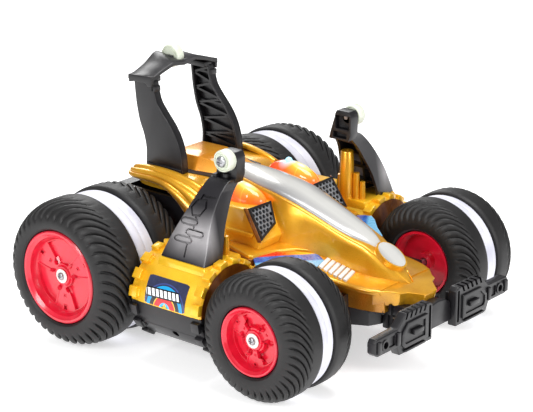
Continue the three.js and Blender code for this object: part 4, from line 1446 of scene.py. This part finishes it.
def deck_recess():
    """A dark sheet of painted shade between a leg's foot and the hump."""
    outline = [(-6, 25.4), (26, 25.4), (49, 21), (49, 12), (-6, 16)]
    return plate([(x, y, 101.3) for x, y in outline], (0, 0, 0.7))


pair(deck_recess, "deck_recess_{}", SHADE_BLACK)

# [x, top edge, lower edge of the fairing, its outer side]
FAIRING = [
    (-13.6, 101.6, 100.6, 42.5),
    (-12.4, 103.4, 98.9, 46),
    (-8, 104.8, 98, 48.6),
    (0, 105.9, 98, 49.6),
    (10, 106.3, 98.2, 49.6),
    (20, 106, 96.8, 49.6),
    (28, 105.2, 93.2, 49.6),
    (36, 103.8, 87.2, 49.6),
    (42, 102.4, 81, 49.6),
    (47.5, 100.5, 74.5, 49.6),
]
FAIRING_INNER = 37
FAIRING_RIDGES = 3


def fairing():
    rings = []
    for x, top, low, outer in smooth_rows(FAIRING, 4):
        outside, inside = [], []
        for k in range(25):
            t = k / 24
            turn = t * math.pi / 2
            ridge = 1.3 * abs(math.sin(FAIRING_RIDGES * math.pi * t)) ** 0.7 - 0.9
            y = FAIRING_INNER + (outer - FAIRING_INNER) * math.sin(turn)
            z = low + (top - low) * math.cos(turn)
            outside.append((x, y + ridge * math.sin(turn), z + ridge * math.cos(turn)))
            inside.append((x, y - 1.8 * math.sin(turn) - 0.2, z - 1.8 * math.cos(turn) - 0.6))
        rings.append([*outside, *reversed(inside)])
    return skin(rings)


pair(fairing, "rear_fairing_{}", FAIRING_GOLD, sharp=35)


def rear_shoulder():
    """The gold flank between the fairing and the intake box, over the dark wheel arch."""
    side = [(30, 96), (47, 94.2), (60, 94.2), (60, 66), (52, 66), (47.5, 76), (41, 84.5), (34, 90)]
    bm = plate([(x, 24, z) for x, z in side], (0, 18, 0))
    return soften(bm, 0.9, 3, 25)


pair(rear_shoulder, "rear_flank_{}", GOLD, sharp=30)

HOUSING_REAR = -24


def rear_panel():
    """A framed panel with louvres and a latch on the back of the gearbox housing."""
    back = HOUSING_REAR - 1.6
    frame = rounded((back, -34, 38), (HOUSING_REAR + 0.5, 34, 80), 0.6, 3)
    frame = carved(frame, block((back - 1, -30.5, 42), (back + 1.1, 30.5, 76)))
    slats = [
        rounded((back + 0.2, -30.8, z), (back + 1.4, 30.8, z + 2.8), 0.5)
        for z in (43.6, 49.2, 54.8, 60.4, 66, 71.6)
    ]
    latch = rounded((back - 0.8, -9, 30), (HOUSING_REAR + 0.5, 9, 36), 0.7, 3)
    return merged(frame, *slats, latch)


piece(rear_panel(), "rear_panel", BLACK, sharp=30)
print("rear deck done")

# %% [markdown]
# Each shoulder carries a lamp: a drop of amber plastic, bright at its bulb, with a small blue
# light standing in it. The drop's inner side is flat where it meets the spine.

# %% Lamps
LAMP_X = 72
LAMP_LONG = 21
LAMP_Y = 28
LAMP_BASE = 94.8


def lamp():
    rings = []
    for k in range(25):
        turn = math.pi * (0.02 + 0.96 * k / 24)
        x = LAMP_X - LAMP_LONG * math.cos(turn)
        full = math.sin(turn) ** 0.8
        ahead = max(0, (x - LAMP_X) / LAMP_LONG)
        width, height = 8.8 * full, 11.8 * full * (1 - 0.22 * ahead)
        arch = []
        for n in range(17):
            swing = math.pi * n / 16
            y = LAMP_Y - width * math.cos(swing)
            arch.append((x, max(y, 20.5), LAMP_BASE + height * math.sin(swing) ** 0.9))
        rings.append(arch)
    return skin(rings)


pair(lamp, "lamp_drop_{}", AMBER, ["lamp_lens_{}"], sharp=60)


def led():
    top = 108.6
    profile = [(0, 100), (2.9, 100), (2.9, 103), (2.5, top - 3)]
    for k in range(7):
        turn = math.pi / 2 * k / 6
        profile.append((2.5 * math.cos(turn), top - 2.5 + 2.5 * math.sin(turn)))
    profile[-1] = (0, top)
    return turned(profile, "z", (LED_X, LAMP_Y, 0), 40)


pair(led, "led_dome_{}", BLUE, ["blue_light_{}"], sharp=45)
print("lamps and lights done")

# %% [markdown]
# The roll bar's legs are open channels: an outer web with a flange along the front and the back
# edge, and thin zigzag ribs inside. The web and flanges follow one curve of rows.

# %% Roll-bar legs
BAR_OUTER = 32
BAR_INNER = 25.5
# [z, back x, front x]
LEG = [
    (101.8, -9, 24),
    (108, -8.6, 23.8),
    (115, -8.6, 22.8),
    (124, -10.6, 19.8),
    (133, -14.3, 14.4),
    (143, -16.6, 5.6),
    (150, -17.6, 0.8),
    (162, -18.8, -2),
]
LEG_ROWS = smooth_rows(LEG, 5)
LEG_WEB = 2.2
LEG_FLANGE = 1.9
LEG_RIBS = 5


def leg_edge(z, front):
    """X of the leg's back or front edge at a height."""
    column = 2 if front else 1
    for low, high in zip(LEG_ROWS, LEG_ROWS[1:]):
        if low[0] <= z <= high[0]:
            share = (z - low[0]) / (high[0] - low[0])
            return low[column] + (high[column] - low[column]) * share
    return LEG_ROWS[-1][column]


def strip(points, thickness, y, depth):
    """A band that follows points (x, z), thickened along x and pushed across the car."""
    outline = [(x, y, z) for x, z in points] + [(x + thickness, y, z) for x, z in reversed(points)]
    return plate(outline, (0, depth, 0))


def roll_bar_leg():
    back = [(x, z) for z, x, _ in LEG_ROWS]
    front = [(x, z) for z, _, x in LEG_ROWS]
    outline = [(x, BAR_OUTER, z) for x, z in back + front[::-1]]
    web = soften(plate(outline, (0, -LEG_WEB, 0)), 0.5, 3, 40)
    depth = BAR_INNER - BAR_OUTER + 0.4
    front_flange = soften(strip(front, -LEG_FLANGE, BAR_OUTER - 0.4, depth), 0.45, 3, 40)
    back_flange = soften(strip(back, LEG_FLANGE, BAR_OUTER - 0.4, depth), 0.45, 3, 40)
    foot = block((-7.5, BAR_INNER, 101.6), (23, BAR_OUTER + 0.9, 105))
    return merged(web, front_flange, back_flange, soften(foot, 0.5, 2))


def leg_ribs():
    ribs = []
    low, high = 106.5, 160
    turns = 2 * LEG_RIBS
    corners = []
    for k in range(turns + 1):
        z = low + (high - low) * k / turns
        corners.append(Vector((leg_edge(z, k % 2 == 0) + (-1 if k % 2 == 0 else 1), 0, z)))
    for start, end in zip(corners, corners[1:]):
        side = Vector((start.z - end.z, 0, end.x - start.x)).normalized() * 0.75
        outline = [start - side, end - side, end + side, start + side]
        rib = plate([p + Vector((0, BAR_INNER + 1.2, 0)) for p in outline], (0, 4.2, 0))
        ribs.append(rib)
    for z in (112, 135, 156):
        start, end = leg_edge(z, False) + 1, leg_edge(z, True) - 1
        ribs.append(block((start, BAR_INNER + 2.6, z - 0.7), (end, BAR_OUTER - 1, z + 0.7)))
    return merged(*ribs)


LEG_NODE = "roll_bar_leg_{}"
pair(roll_bar_leg, "leg_channel_{}", BLACK, [LEG_NODE], sharp=45)
pair(leg_ribs, "leg_ribs_{}", BLACK, sharp=30)

# %% [markdown]
# The crossbar is a ribbon that rises to an arch in the middle. Its section runs along the car, so
# its two edges have slightly different heights. A roller turns on a pin in the arch.

# %% Crossbar and its roller
# [|y|, height of the rear edge, of the front edge]
ARCH = [
    (0, 172.6, 170.6),
    (3, 174.4, 171),
    (6, 175.4, 171.4),
    (8.6, 174.8, 171.8),
    (11.4, 173.2, 172),
    (17, 169.8, 170.6),
    (23, 167.2, 169),
    (28, 165.4, 167.2),
    (32, 164.6, 166),
    (33.6, 164.2, 165.4),
]
BAR_BACK = -22.5
BAR_FRONT = -0.6
RIBBON = 3.2
TOP_ROLLER = Vector((-12, 0, 172.5))


def crossbar():
    rows = smooth_rows(ARCH, 3)
    rows = [(-y, back, front) for y, back, front in reversed(rows)][:-1] + rows
    rings = []
    for y, back, front in rows:
        crown = (back + front) / 2 + 0.5
        top = [
            (BAR_BACK, back - 0.6), (BAR_BACK + 0.7, back), (TOP_ROLLER.x, crown),
            (BAR_FRONT - 0.8, front), (BAR_FRONT, front - 0.6),
        ]
        under = [
            (BAR_FRONT, front - RIBBON + 0.4), (BAR_FRONT - 0.6, front - RIBBON),
            (TOP_ROLLER.x, crown - RIBBON), (BAR_BACK + 0.6, back - RIBBON),
            (BAR_BACK, back - RIBBON + 0.5),
        ]
        rings.append([(x, y, z) for x, z in top + under])
    ribbon = skin(rings)
    slot = block((TOP_ROLLER.x - 8.6, -3.9, 150), (TOP_ROLLER.x + 8.6, 3.9, 190))
    return carved(ribbon, slot)


def crossbar_ends():
    outline = [
        (BAR_BACK, 164.6), (BAR_FRONT, 165.8), (BAR_FRONT - 0.3, 159), (BAR_FRONT - 4, 158.4),
        (BAR_FRONT - 6, 160.4), (BAR_BACK + 6, 160.4), (BAR_BACK + 0.6, 159),
    ]
    end = soften(plate([(x, 31.6, z) for x, z in outline], (0, 2.2, 0)), 0.5, 3, 30)
    inner = rounded((BAR_BACK + 2, 22.4, 160.6), (BAR_FRONT - 2, 32.4, 164.4), 0.6)
    x = TOP_ROLLER.x
    cheek = rounded((x - 4.6, 3.9, 167.4), (x + 4.6, 6.4, 174), 0.7)
    hook = rounded((BAR_FRONT - 2.4, 25.8, 155), (BAR_FRONT + 0.8, 32, 158.8), 0.5)
    return mirrored(merged(end, inner, cheek, hook))


piece(crossbar(), "crossbar_ribbon", BLACK, ["roll_bar_crossbar"], sharp=50)
piece(crossbar_ends(), "crossbar_ends", BLACK, sharp=35)


def roller_profile(radius, half, bore):
    """A raised ring round the bore, a shallow groove and a rounded rim, the same on both faces."""
    profile = [(bore, -half), (radius * 0.62, -half), (radius * 0.66, -half + 0.8)]
    profile += [(radius - 1.6, -half + 0.8), (radius - 1.2, -half)]
    return both_ways([*profile, (radius - 0.5, -half + 0.2), (radius, -half + 0.9)])


piece(
    turned(roller_profile(8, 3.4, 1.5), "y", TOP_ROLLER, 72),
    "top_roller",
    ROLLER_WHITE,
    ["crossbar_roller"],
    body="crossbar_roller",
)
pin = [(0, -6.8), (0.9, -6.8), (1.2, -6.5), (1.2, 6.5), (0.9, 6.8), (0, 6.8)]
piece(turned(pin, "y", TOP_ROLLER, 32), "top_roller_pin", STEEL, ["crossbar_pin"])
print("roll bar done")

# %% [markdown]
# A side arm is a channel that opens towards the car. Its section is drawn once as a share of the
# arm's width and depth, and rows up the arm place it. The outer face is engraved.

# %% Arm channels
# [z, back x, front x, outer y, inner y]
ARM = [
    (73.6, 66.7, 104, 100.8, 83.3),
    (83, 69.5, 103, 97, 81),
    (93, 73.5, 101.3, 93, 77.5),
    (103, 77, 99.5, 87.3, 72),
    (112, 79.4, 98.2, 80.6, 66.5),
    (119, 81, 97.6, 73.6, 60),
    (122, 81.6, 98, 69, 57),
]
ARM_WALL = 2.2
ARM_ROWS = smooth_rows(ARM, 5)


def arm_channel():
    rings = []
    for z, back, front, outer, inner in ARM_ROWS:
        corner = 1.1
        section = [
            (back, inner), (back, outer - corner), (back + corner * 0.3, outer - corner * 0.3),
            (back + corner, outer), (front - corner, outer),
            (front - corner * 0.3, outer - corner * 0.3), (front, outer - corner), (front, inner),
            (front - ARM_WALL, inner), (front - ARM_WALL, outer - ARM_WALL),
            (back + ARM_WALL, outer - ARM_WALL), (back + ARM_WALL, inner),
        ]
        rings.append([(x, y, z) for x, y in section])
    return skin(rings)


def arm_point(share, z):
    """A point on the arm's outer face, at a share of its width from back to front."""
    for low, high in zip(ARM_ROWS, ARM_ROWS[1:]):
        if low[0] <= z <= high[0]:
            part = (z - low[0]) / (high[0] - low[0])
            _, back, front, outer, _ = (a + (b - a) * part for a, b in zip(low, high))
            return Vector((back + (front - back) * share, outer, z))
    return Vector((ARM_ROWS[-1][1], ARM_ROWS[-1][3], z))


ENGRAVED = 1.35
PILL_HEIGHT = 3.5


def groove(points, width):
    """A tool that cuts a groove with round corners along points (share, z) of the face."""
    tools = []
    for (s0, z0), (s1, z1) in zip(points, points[1:]):
        start, end = arm_point(s0, z0), arm_point(s1, z1)
        run = (end - start).normalized()
        out = Vector((0, 1, 0.45)).normalized()
        side = run.cross(out).normalized() * width / 2
        start, end = start - run * width * 0.35, end + run * width * 0.35
        outline = [start - side, end - side, end + side, start + side]
        tools.append(plate([p - out * ENGRAVED for p in outline], out * (ENGRAVED + 2.5)))
    return tools


def pill(left, right, z):
    """A closed loop of grooves with round ends."""
    middle, half = (left + right) / 2, (right - left) / 2
    points = []
    for k in range(17):
        turn = 2 * math.pi * k / 16
        swing = math.copysign(abs(math.cos(turn)) ** 0.45, math.cos(turn))
        points.append((middle + half * swing, z + PILL_HEIGHT / 2 * math.sin(turn)))
    return groove(points, 1.3)


def engraved_channel():
    """Three pills, a six-sided field and a tick, linked by one winding groove."""
    field = [(0.3, 101.2), (0.13, 105.2), (0.22, 109.6), (0.56, 110.6), (0.66, 106.4), (0.55, 101.8)]
    lines = [
        [(0.51, 76.6), (0.48, 84.2), (0.56, 85.6)],
        [(0.5, 88.4), (0.46, 89.8)],
        [(0.52, 93.4), (0.5, 95.8)],
        [(0.52, 99.2), (0.4, 101.2)],
        [*field, field[0]],
        [(0.32, 110), (0.32, 112.8), (0.52, 112.3), (0.86, 112.8)],
    ]
    tools = []
    for line in lines:
        tools += groove(line, 1.4)
    for left, right, z in ((0.12, 0.57, 86.6), (0.34, 0.84, 91.6), (0.04, 0.57, 97.4)):
        tools += pill(left, right, z)
    body = arm_channel()
    for tool in tools:
        body = carved(body, tool)
    return body


def arm_head():
    """The bracket at the tip, with a flat top and two pockets in its inner face."""
    cx, cz, radius = ROLLER_X - 0.6, ROLLER_Z, 7
    outline = [(81, 118.5), (97.4, 118.5), (99.4, 124)]
    for k in range(13):
        turn = math.pi * k / 12
        rise = min(radius * math.sin(turn), HEAD_RISE)
        outline.append((cx + radius * math.cos(turn), cz + rise))
    outline.append((82.4, 124))
    head = plate([(x, HEAD_INNER, z) for x, z in outline], (0, HEAD_THICK, 0))
    pockets = [block((86.4, 54, 126.5), (98, 60, 136)), block((84.6, 54, 120), (96, 60, 124.4))]
    head = soften(carved(head, merged(*pockets)), 0.5, 3, 40)
    boss = turned([(0, 60), (4.4, 60), (4.4, 63.9), (4, 64.1), (0, 64.1)], "y", ROLLER_AT, 40)
    ribs = [
        rounded((x0, 60.4, z0), (x0 + 3.4, y1, z0 + 4.4), 0.6)
        for x0, z0, y1 in ((82.4, 119.5, 68.2), (84.6, 124.6, 66.4), (90.2, 120.5, 66.8))
    ]
    return merged(head, boss, *ribs)


HEAD_RISE = 5
HEAD_INNER = 55.5
HEAD_THICK = 8.3
ROLLER_X = 93.4
ROLLER_Z = 134.5
ROLLER_AT = Vector((ROLLER_X, 0, ROLLER_Z))
ARM_NODE = "side_arm_{}"
engraved = engraved_channel()
pair(engraved.copy, "arm_channel_{}", ARM_BLACK, [ARM_NODE], sharp=30)


def arm_seat():
    """The gold plinth on the pod that the arm stands on."""
    x0, x1 = ARM[0][1], ARM[0][2]
    rings = []
    for z, grow in ((58, 1.6), (70, 1.2), (72.6, 0.6), (73.5, -0.4)):
        outer = ARM[0][3] + grow - (0.5 if z < 60 else 0)
        section = [(x0 - grow, 66), (x0 - grow, outer), (x1 + grow, outer), (x1 + grow, 66)]
        rings.append([(x, y, z) for x, y in section])
    return soften(skin(rings), 0.7, 2, 20)


pair(arm_seat, "arm_seat_{}", LIT_POD_GOLD, sharp=30)
pair(arm_head, "arm_head_{}", BLACK, sharp=40)


def arm_ribs():
    """Cross ribs and a long web inside the channel, seen from the car's side."""
    ribs = []
    for z in (80, 92, 104, 113):
        p, q = arm_point(0.04, z), arm_point(0.96, z)
        ribs.append(block((p.x, p.y - 9, z - 0.8), (q.x, p.y - 1.6, z + 0.8)))
    rows = [row for row in ARM_ROWS if 66 < row[0] < 118]
    outer = [((b + f) / 2, o - 1.6, z) for z, b, f, o, _ in rows]
    inner = [((b + f) / 2, o - 8, z) for z, b, f, o, _ in rows]
    ribs.append(plate(outer + inner[::-1], (1.5, 0, 0)))
    return merged(*ribs)


pair(arm_ribs, "arm_ribs_{}", BLACK, sharp=30)
ROLLER_MIDDLE = 67.8
roller = [(r, t + ROLLER_MIDDLE) for r, t in roller_profile(7.2, 3.5, 1.8)]
pair(
    lambda: turned(roller, "y", ROLLER_AT, 72),
    "side_roller_{}",
    ROLLER_WHITE,
    ["arm_roller_{}"],
    body="arm_roller_{}",
)


def roller_screw():
    profile = [(0, 58), (1.5, 58), (1.5, 71.4), (3.7, 71.4), (3.7, 72), (3.2, 73), (2.2, 73.6), (0, 73.7)]
    head = turned(profile, "y", ROLLER_AT, 40)
    for across_x in (True, False):
        x, z = (2.1, 0.45) if across_x else (0.45, 2.1)
        low = ROLLER_AT + Vector((-x, 72.7, -z))
        head = carved(head, block(low, ROLLER_AT + Vector((x, 75, z))))
    return head


pair(roller_screw, "side_roller_screw_{}", STEEL, ["roller_screw_{}"], sharp=30)
print("arms done")

# %% [markdown]
# The side pods are drums that lie along the car, gold above and black below. Each flange carries
# sixteen blocky knobs. The label on the barrel is a thin curved sheet.

# %% Pods
POD_REAR = 52
POD_FRONT = 111
KNOBS = 16
KNOB_SEAT = 30.4
SEAM = 0.15  # half the gap between the two halves
LOWEST_KNOB = -0.86  # sine of the angle; the belly is flat below it
TEETH = 20  # on each half of the pod
TOOTH = [(23.6, -1), (28.2, -1), (28.2, 1), (23.6, 1)]


def on_pod(x, angle, radius):
    """A point at an angle above the horizontal, seen from the car's side."""
    return Vector((x, POD_Y + radius * math.cos(angle), POD_Z + radius * math.sin(angle)))


def pod_shell(upper):
    """Half a drum with a rolled edge at both ends."""
    # [radius, distance from the end of the pod]
    end = [(0, 0.6), (23, 0.6), (24, -0.2), (28.6, -0.2), (29.4, 0.5), (29.6, 6), (POD_R, 7)]
    profile = [(r, POD_REAR + t) for r, t in end]
    profile += [(r, POD_FRONT - t) for r, t in reversed(end)]
    drum = turned(profile, "x", (0, POD_Y, POD_Z), 96)
    low, high = (-60, POD_Z + SEAM) if upper else (POD_Z - SEAM, 160)
    return carved(drum, block((0, 0, low), (200, 200, high)))


def knob(start, length, angle, width, height):
    """A block on the flange; its base is sunk in the drum and its top is rounded."""
    side = [(KNOB_SEAT - 4, 1), (KNOB_SEAT, 1), (KNOB_SEAT + height, 0.86)]
    rings = []
    for x in (start, start + length):
        ring = [on_pod(x, angle - width / 2 * share, r) for r, share in side]
        ring += [on_pod(x, angle + width / 2 * share, r) for r, share in reversed(side)]
        rings.append(ring)
    return soften(skin(rings), 0.35, 2, 25)


def knobs(upper):
    step = 2 * math.pi / KNOBS
    made = []
    for k in range(KNOBS):
        angle = step * (k + 0.5) - math.pi / 2
        rise = math.sin(angle)
        if (rise > 0) != upper or rise < LOWEST_KNOB:
            continue
        for start in (POD_REAR - 0.2, POD_FRONT - 6.2):
            made.append(knob(start, 6.4, angle, step * 0.62, 1.7))
        if k % 2 == 0:
            made.append(knob(POD_REAR + 6, 2.2, angle, step * 0.42, 0.7))
    return merged(*made)


def pod_ring(upper):
    """Fine teeth round the disc that faces the front wheel."""
    step = math.pi / TEETH
    made = []
    for k in range(TEETH):
        angle = step * (k + 0.5) + (0 if upper else math.pi)
        if not upper and math.sin(angle) < -0.9:
            continue
        ring = [on_pod(POD_FRONT - 0.4, angle + s * step * 0.3, r) for r, s in TOOTH]
        made.append(plate(ring, (0.9, 0, 0)))
    return merged(*made)


pair(lambda: pod_shell(True), "pod_top_{}", LIT_POD_GOLD, ["pod_upper_{}"], sharp=30)
pair(lambda: knobs(True), "pod_knobs_{}", LIT_POD_GOLD, sharp=30)
pair(lambda: pod_ring(True), "pod_teeth_{}", GOLD_SHADE, sharp=30)


def pod_face():
    """The brown-gold disc that closes the front of the pod's upper half."""
    ring = [on_pod(POD_FRONT + 0.1, math.pi * k / 48, 28.3) for k in range(49)]
    return plate(ring, (0.35, 0, 0))


pair(pod_face, "pod_face_{}", GOLD_SHADE)


def pod_belly():
    """The black lower half, flat underneath, with a step and a small notch along its side."""
    shell = pod_shell(False)
    shell = carved(shell, block((0, 0, -60), (200, 200, 14.6)))
    band = block((POD_REAR + 7, POD_Y + 24, 29), (POD_FRONT - 7, POD_Y + 26.6, 31))
    notch = turned([(0, 0), (2.4, 0), (2.4, 12), (0, 12)], "y", (86, POD_Y + 20, 27), 24)
    return merged(carved(shell, notch), soften(band, 0.4, 2))


pair(pod_belly, "pod_belly_{}", BLACK, ["pod_lower_{}"], sharp=30)
pair(lambda: knobs(False), "pod_belly_knobs_{}", BLACK, sharp=30)
pair(lambda: pod_ring(False), "pod_belly_teeth_{}", BLACK, sharp=30)


def pod_neck():
    """Joins the upper half of the pod to the body."""
    return rounded((63, 44, POD_Z + 0.2), (99, 62, POD_Z + 20), 0.8)


def pod_neck_low():
    return rounded((63, 44, POD_Z - 12), (99, 62, POD_Z - 0.2), 0.8)


pair(pod_neck, "pod_neck_{}", GOLD)
pair(pod_neck_low, "pod_neck_low_{}", BLACK)


def label_sheet():
    start, end = 64.6, 98.4
    low, high = 0.03, 0.66  # angles of its lower and upper edge
    outer, inner = POD_R + 0.35, POD_R - 0.6
    steps = 24
    rings = []
    for k in range(steps + 1):
        angle = low + (high - low) * k / steps
        trim = 2.2 if k in (0, steps) else 0
        back, front = start + trim, end - trim
        corners = [(back, outer), (front, outer), (front, inner), (back, inner)]
        rings.append([on_pod(x, angle, radius) for x, radius in corners])
    return skin(rings)


pair(label_sheet, "pod_label_{}", POD_LABEL)


def post():
    profile = [(0, 62), (6.4, 62), (5.7, 72), (5.5, 75), (4.5, 106.4), (4.1, 107)]
    profile += [(1.3, 107), (1.2, 98), (0, 98)]  # the bore at its top
    main = turned(profile, "z", (86, 70, 0), 48)
    ribs = []
    for x, y, top, radius in ((93.5, 71, 92, 2.6), (97.8, 72.5, 86, 2.2), (79, 72, 88, 2.4)):
        rib = [(0, 64), (radius + 0.5, 64), (radius, 74), (radius - 0.4, top), (0, top + 0.3)]
        ribs.append(turned(rib, "z", (x, y, 0), 24))
    gusset = block((85.2, 66, 66), (86.8, 80, 88))
    return merged(main, *ribs, soften(gusset, 0.4, 2))


pair(post, "pod_post_{}", GOLD, sharp=40)
print("pods done")

# %% [markdown]
# The bumper is a pair of wing plates on a saddle. Each has a raised panel with a bar on it, four
# slanted louvres on its top edge and a narrow tab with a stud at its outer end.

# %% Bumper
WING_BACK = 212
WING_FRONT = 218.4
PANEL_FRONT = 220.6
STUD = (63.4, 39.6)  # y and z of the stud on the tab


def facing(outline, x, depth):
    """An outline of (y, z) at an X, pushed forward."""
    return plate([(x, y, z) for y, z in outline], (depth, 0, 0))


def bumper_wing():
    wing = [
        (13.2, 27.6), (48, 27.6), (51, 33.8), (71, 33.8), (73.6, 36.2), (73.6, 43), (71.8, 45.4),
        (50.4, 45.8), (41.4, 53.8), (16, 53.8), (13.2, 51.6),
    ]
    body = soften(facing(wing, WING_BACK, WING_FRONT - WING_BACK), 0.7, 3, 20)
    for k in range(5):
        y = 18.6 + 4.9 * k
        slot = facing([(y, 55), (y + 2, 55), (y + 4.6, 49.6), (y + 2.6, 49.6)], WING_BACK + 1.6, 9)
        body = carved(body, slot)
    hole = turned([(0, -4), (2.1, -4), (2.1, 9), (0, 9)], "x", (WING_FRONT - 3, *STUD), 32)
    body = carved(body, hole)
    body = carved(body, block((WING_FRONT - 1, 53.4, 36.2), (WING_FRONT + 2, 59, 43.2)))
    channel = facing([(14.8, 30), (17, 30), (17, 51.6), (14.8, 51.6)], WING_FRONT - 1.6, 4)
    return carved(body, channel)


def bumper_panel():
    outline = [(19.6, 31.4), (44, 31.4), (47, 34.4), (47, 41.2), (40.6, 47.6), (19.6, 47.6)]
    panel = soften(facing(outline, WING_FRONT - 0.5, PANEL_FRONT - WING_FRONT - 0.3), 0.5, 3, 20)
    inner = [(22.6, 34), (43, 34), (44.6, 35.6), (44.6, 40.4), (39.4, 45.2), (22.6, 45.2)]
    panel = carved(panel, facing(inner, PANEL_FRONT - 1.7, 3))
    bar = rounded((WING_FRONT - 0.2, 26, 38.4), (PANEL_FRONT + 0.9, 36.4, 41.6), 0.5)
    pads = [
        rounded((WING_FRONT - 0.4, y, z), (WING_FRONT + 1.6, y + w, z + h), 0.5)
        for y, z, w, h in ((48.6, 35.4, 3.4, 8.6), (68.2, 35.6, 3.6, 8), (22, 28.6, 22, 1.6))
    ]
    ring = turned([(2.4, 0), (3.6, 0), (3.6, 1.2), (2.4, 1.2)], "x", (WING_FRONT - 0.4, *STUD), 32)
    return merged(panel, bar, ring, *pads)


def back_ribs():
    """Stiffening ribs behind a wing."""
    ribs = [block((WING_BACK - 3.4, y, 30), (WING_BACK + 0.6, y + 1.6, 49)) for y in (15, 24, 33, 42)]
    ribs.append(block((WING_BACK - 2.4, 14, 38.4), (WING_BACK + 0.6, 70, 40.4)))
    return merged(*ribs)


pair(bumper_wing, "bumper_wing_{}", BLACK, sharp=30)
pair(bumper_panel, "bumper_panel_{}", BLACK, sharp=30)
pair(back_ribs, "bumper_ribs_{}", BLACK, sharp=30)


def bumper_saddle():
    neck = [(-15, 31), (-13, 44), (-7.5, 47.6), (0, 48.4), (7.5, 47.6), (13, 44), (15, 31)]
    saddle = facing(neck, 203, 11)
    for v in saddle.verts:
        if v.co.x < 205:
            v.co.y *= 0.62
    block_low = block((179.4, -13.5, 25.4), (206, 13.5, 39.6))
    riser = block((188.8, -9, 36), (210, 9, 44.4))
    parts = [soften(saddle, 0.8, 3, 20), soften(block_low, 0.9, 2), soften(riser, 0.7, 2)]
    for k in range(6):
        x = 183 + 3.7 * k
        parts.append(block((x, -14.6, 27), (x + 1.7, 14.6, 38.6)))
    return merged(*parts)


piece(bumper_saddle(), "bumper_saddle", BLACK, ["front_bumper"], sharp=30)


def under_nose():
    """Upright fins under the beak, between the skirt and the bumper's block."""
    fins = []
    for k in range(7):
        x = 176 + 4.2 * k
        half = 25 - 0.9 * k - 0.28 * k * k
        fins.append(block((x, half - 5, 38.5), (x + 2, half, 45.6)))
    fins.append(block((172, 8, 38), (203, 17, 45.4)))
    return merged(*[soften(fin, 0.4, 2) for fin in fins])


pair(under_nose, "nose_fins_{}", BLACK, sharp=30)
print("bumper done")

# %% [markdown]
# The tray, its door and switch, and the drive parts inside it need no finer shape. The packed
# model's own nodes stay for them and only get their finishes.

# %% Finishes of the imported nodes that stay
def nylon():
    paint = Paint("gear_nylon")
    base = paint.mix(paint.noise(3), colour("DDD8C6"), colour("C9C3AE"))
    return paint.surface(Base_Color=base, Roughness=0.45 + paint.noise(0.5) * 0.1)


def circuit_green():
    """Solder mask with paler tracks and bright pads."""
    paint = Paint("circuit_green")
    x, y, z = paint.axes()
    tracks = (x.maths("PINGPONG", 3) + y.maths("PINGPONG", 2)).maths("FRACT") > 0.8
    pads = (x.maths("PINGPONG", 2) < 0.5) * (y.maths("PINGPONG", 2.5) < 0.5)
    base = paint.mix(tracks, colour("17582F"), colour("2C7D49"))
    base = paint.mix(pads, base, colour("C9C4B0"))
    return paint.surface(Base_Color=base, Roughness=0.35 + paint.noise(2) * 0.1, Metallic=pads * 0.8)


def battery_wrap():
    """Shrink wrap over four cells, with the lines between them."""
    paint = Paint("battery_wrap")
    x, y, z = paint.axes()
    seams = x.maths("PINGPONG", 7.5) < 0.5
    base = paint.mix(seams, colour("2C4F9E"), colour("16285A"))
    crease = paint.noise(3)
    return paint.surface(
        Base_Color=base, Roughness=0.28 + crease * 0.12, Normal=paint.bump(crease, 0.1)
    )


SIDES = ("left", "right")
NYLON = nylon()
KEPT = {
    BLACK: ["lower_tray", "battery_door", "power_switch"],
    STEEL: [
        f"{part}_{side}"
        for part in ("drive_motor", "rear_half_shaft", "front_stub_axle")
        for side in SIDES
    ],
    NYLON: [f"{part}_{side}" for part in ("motor_pinion", "drive_gear") for side in SIDES],
    circuit_green(): ["circuit_board"],
    battery_wrap(): ["battery_pack"],
}
for paint, nodes in KEPT.items():
    for node in nodes:
        mesh = frame["nodes"][node].data
        mesh.materials.clear()
        mesh.materials.append(paint)
print("finishes on", sum(len(nodes) for nodes in KEPT.values()), "packed nodes")

# %% [markdown]
# The last step measures the whole car next to the imported model.

# %% Size and finish
visual_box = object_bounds()
for name, (low, high) in (("cad", cad_box), ("visual", visual_box)):
    print(name, [round((b - a) * 1000, 1) for a, b in zip(low, high)], "mm")
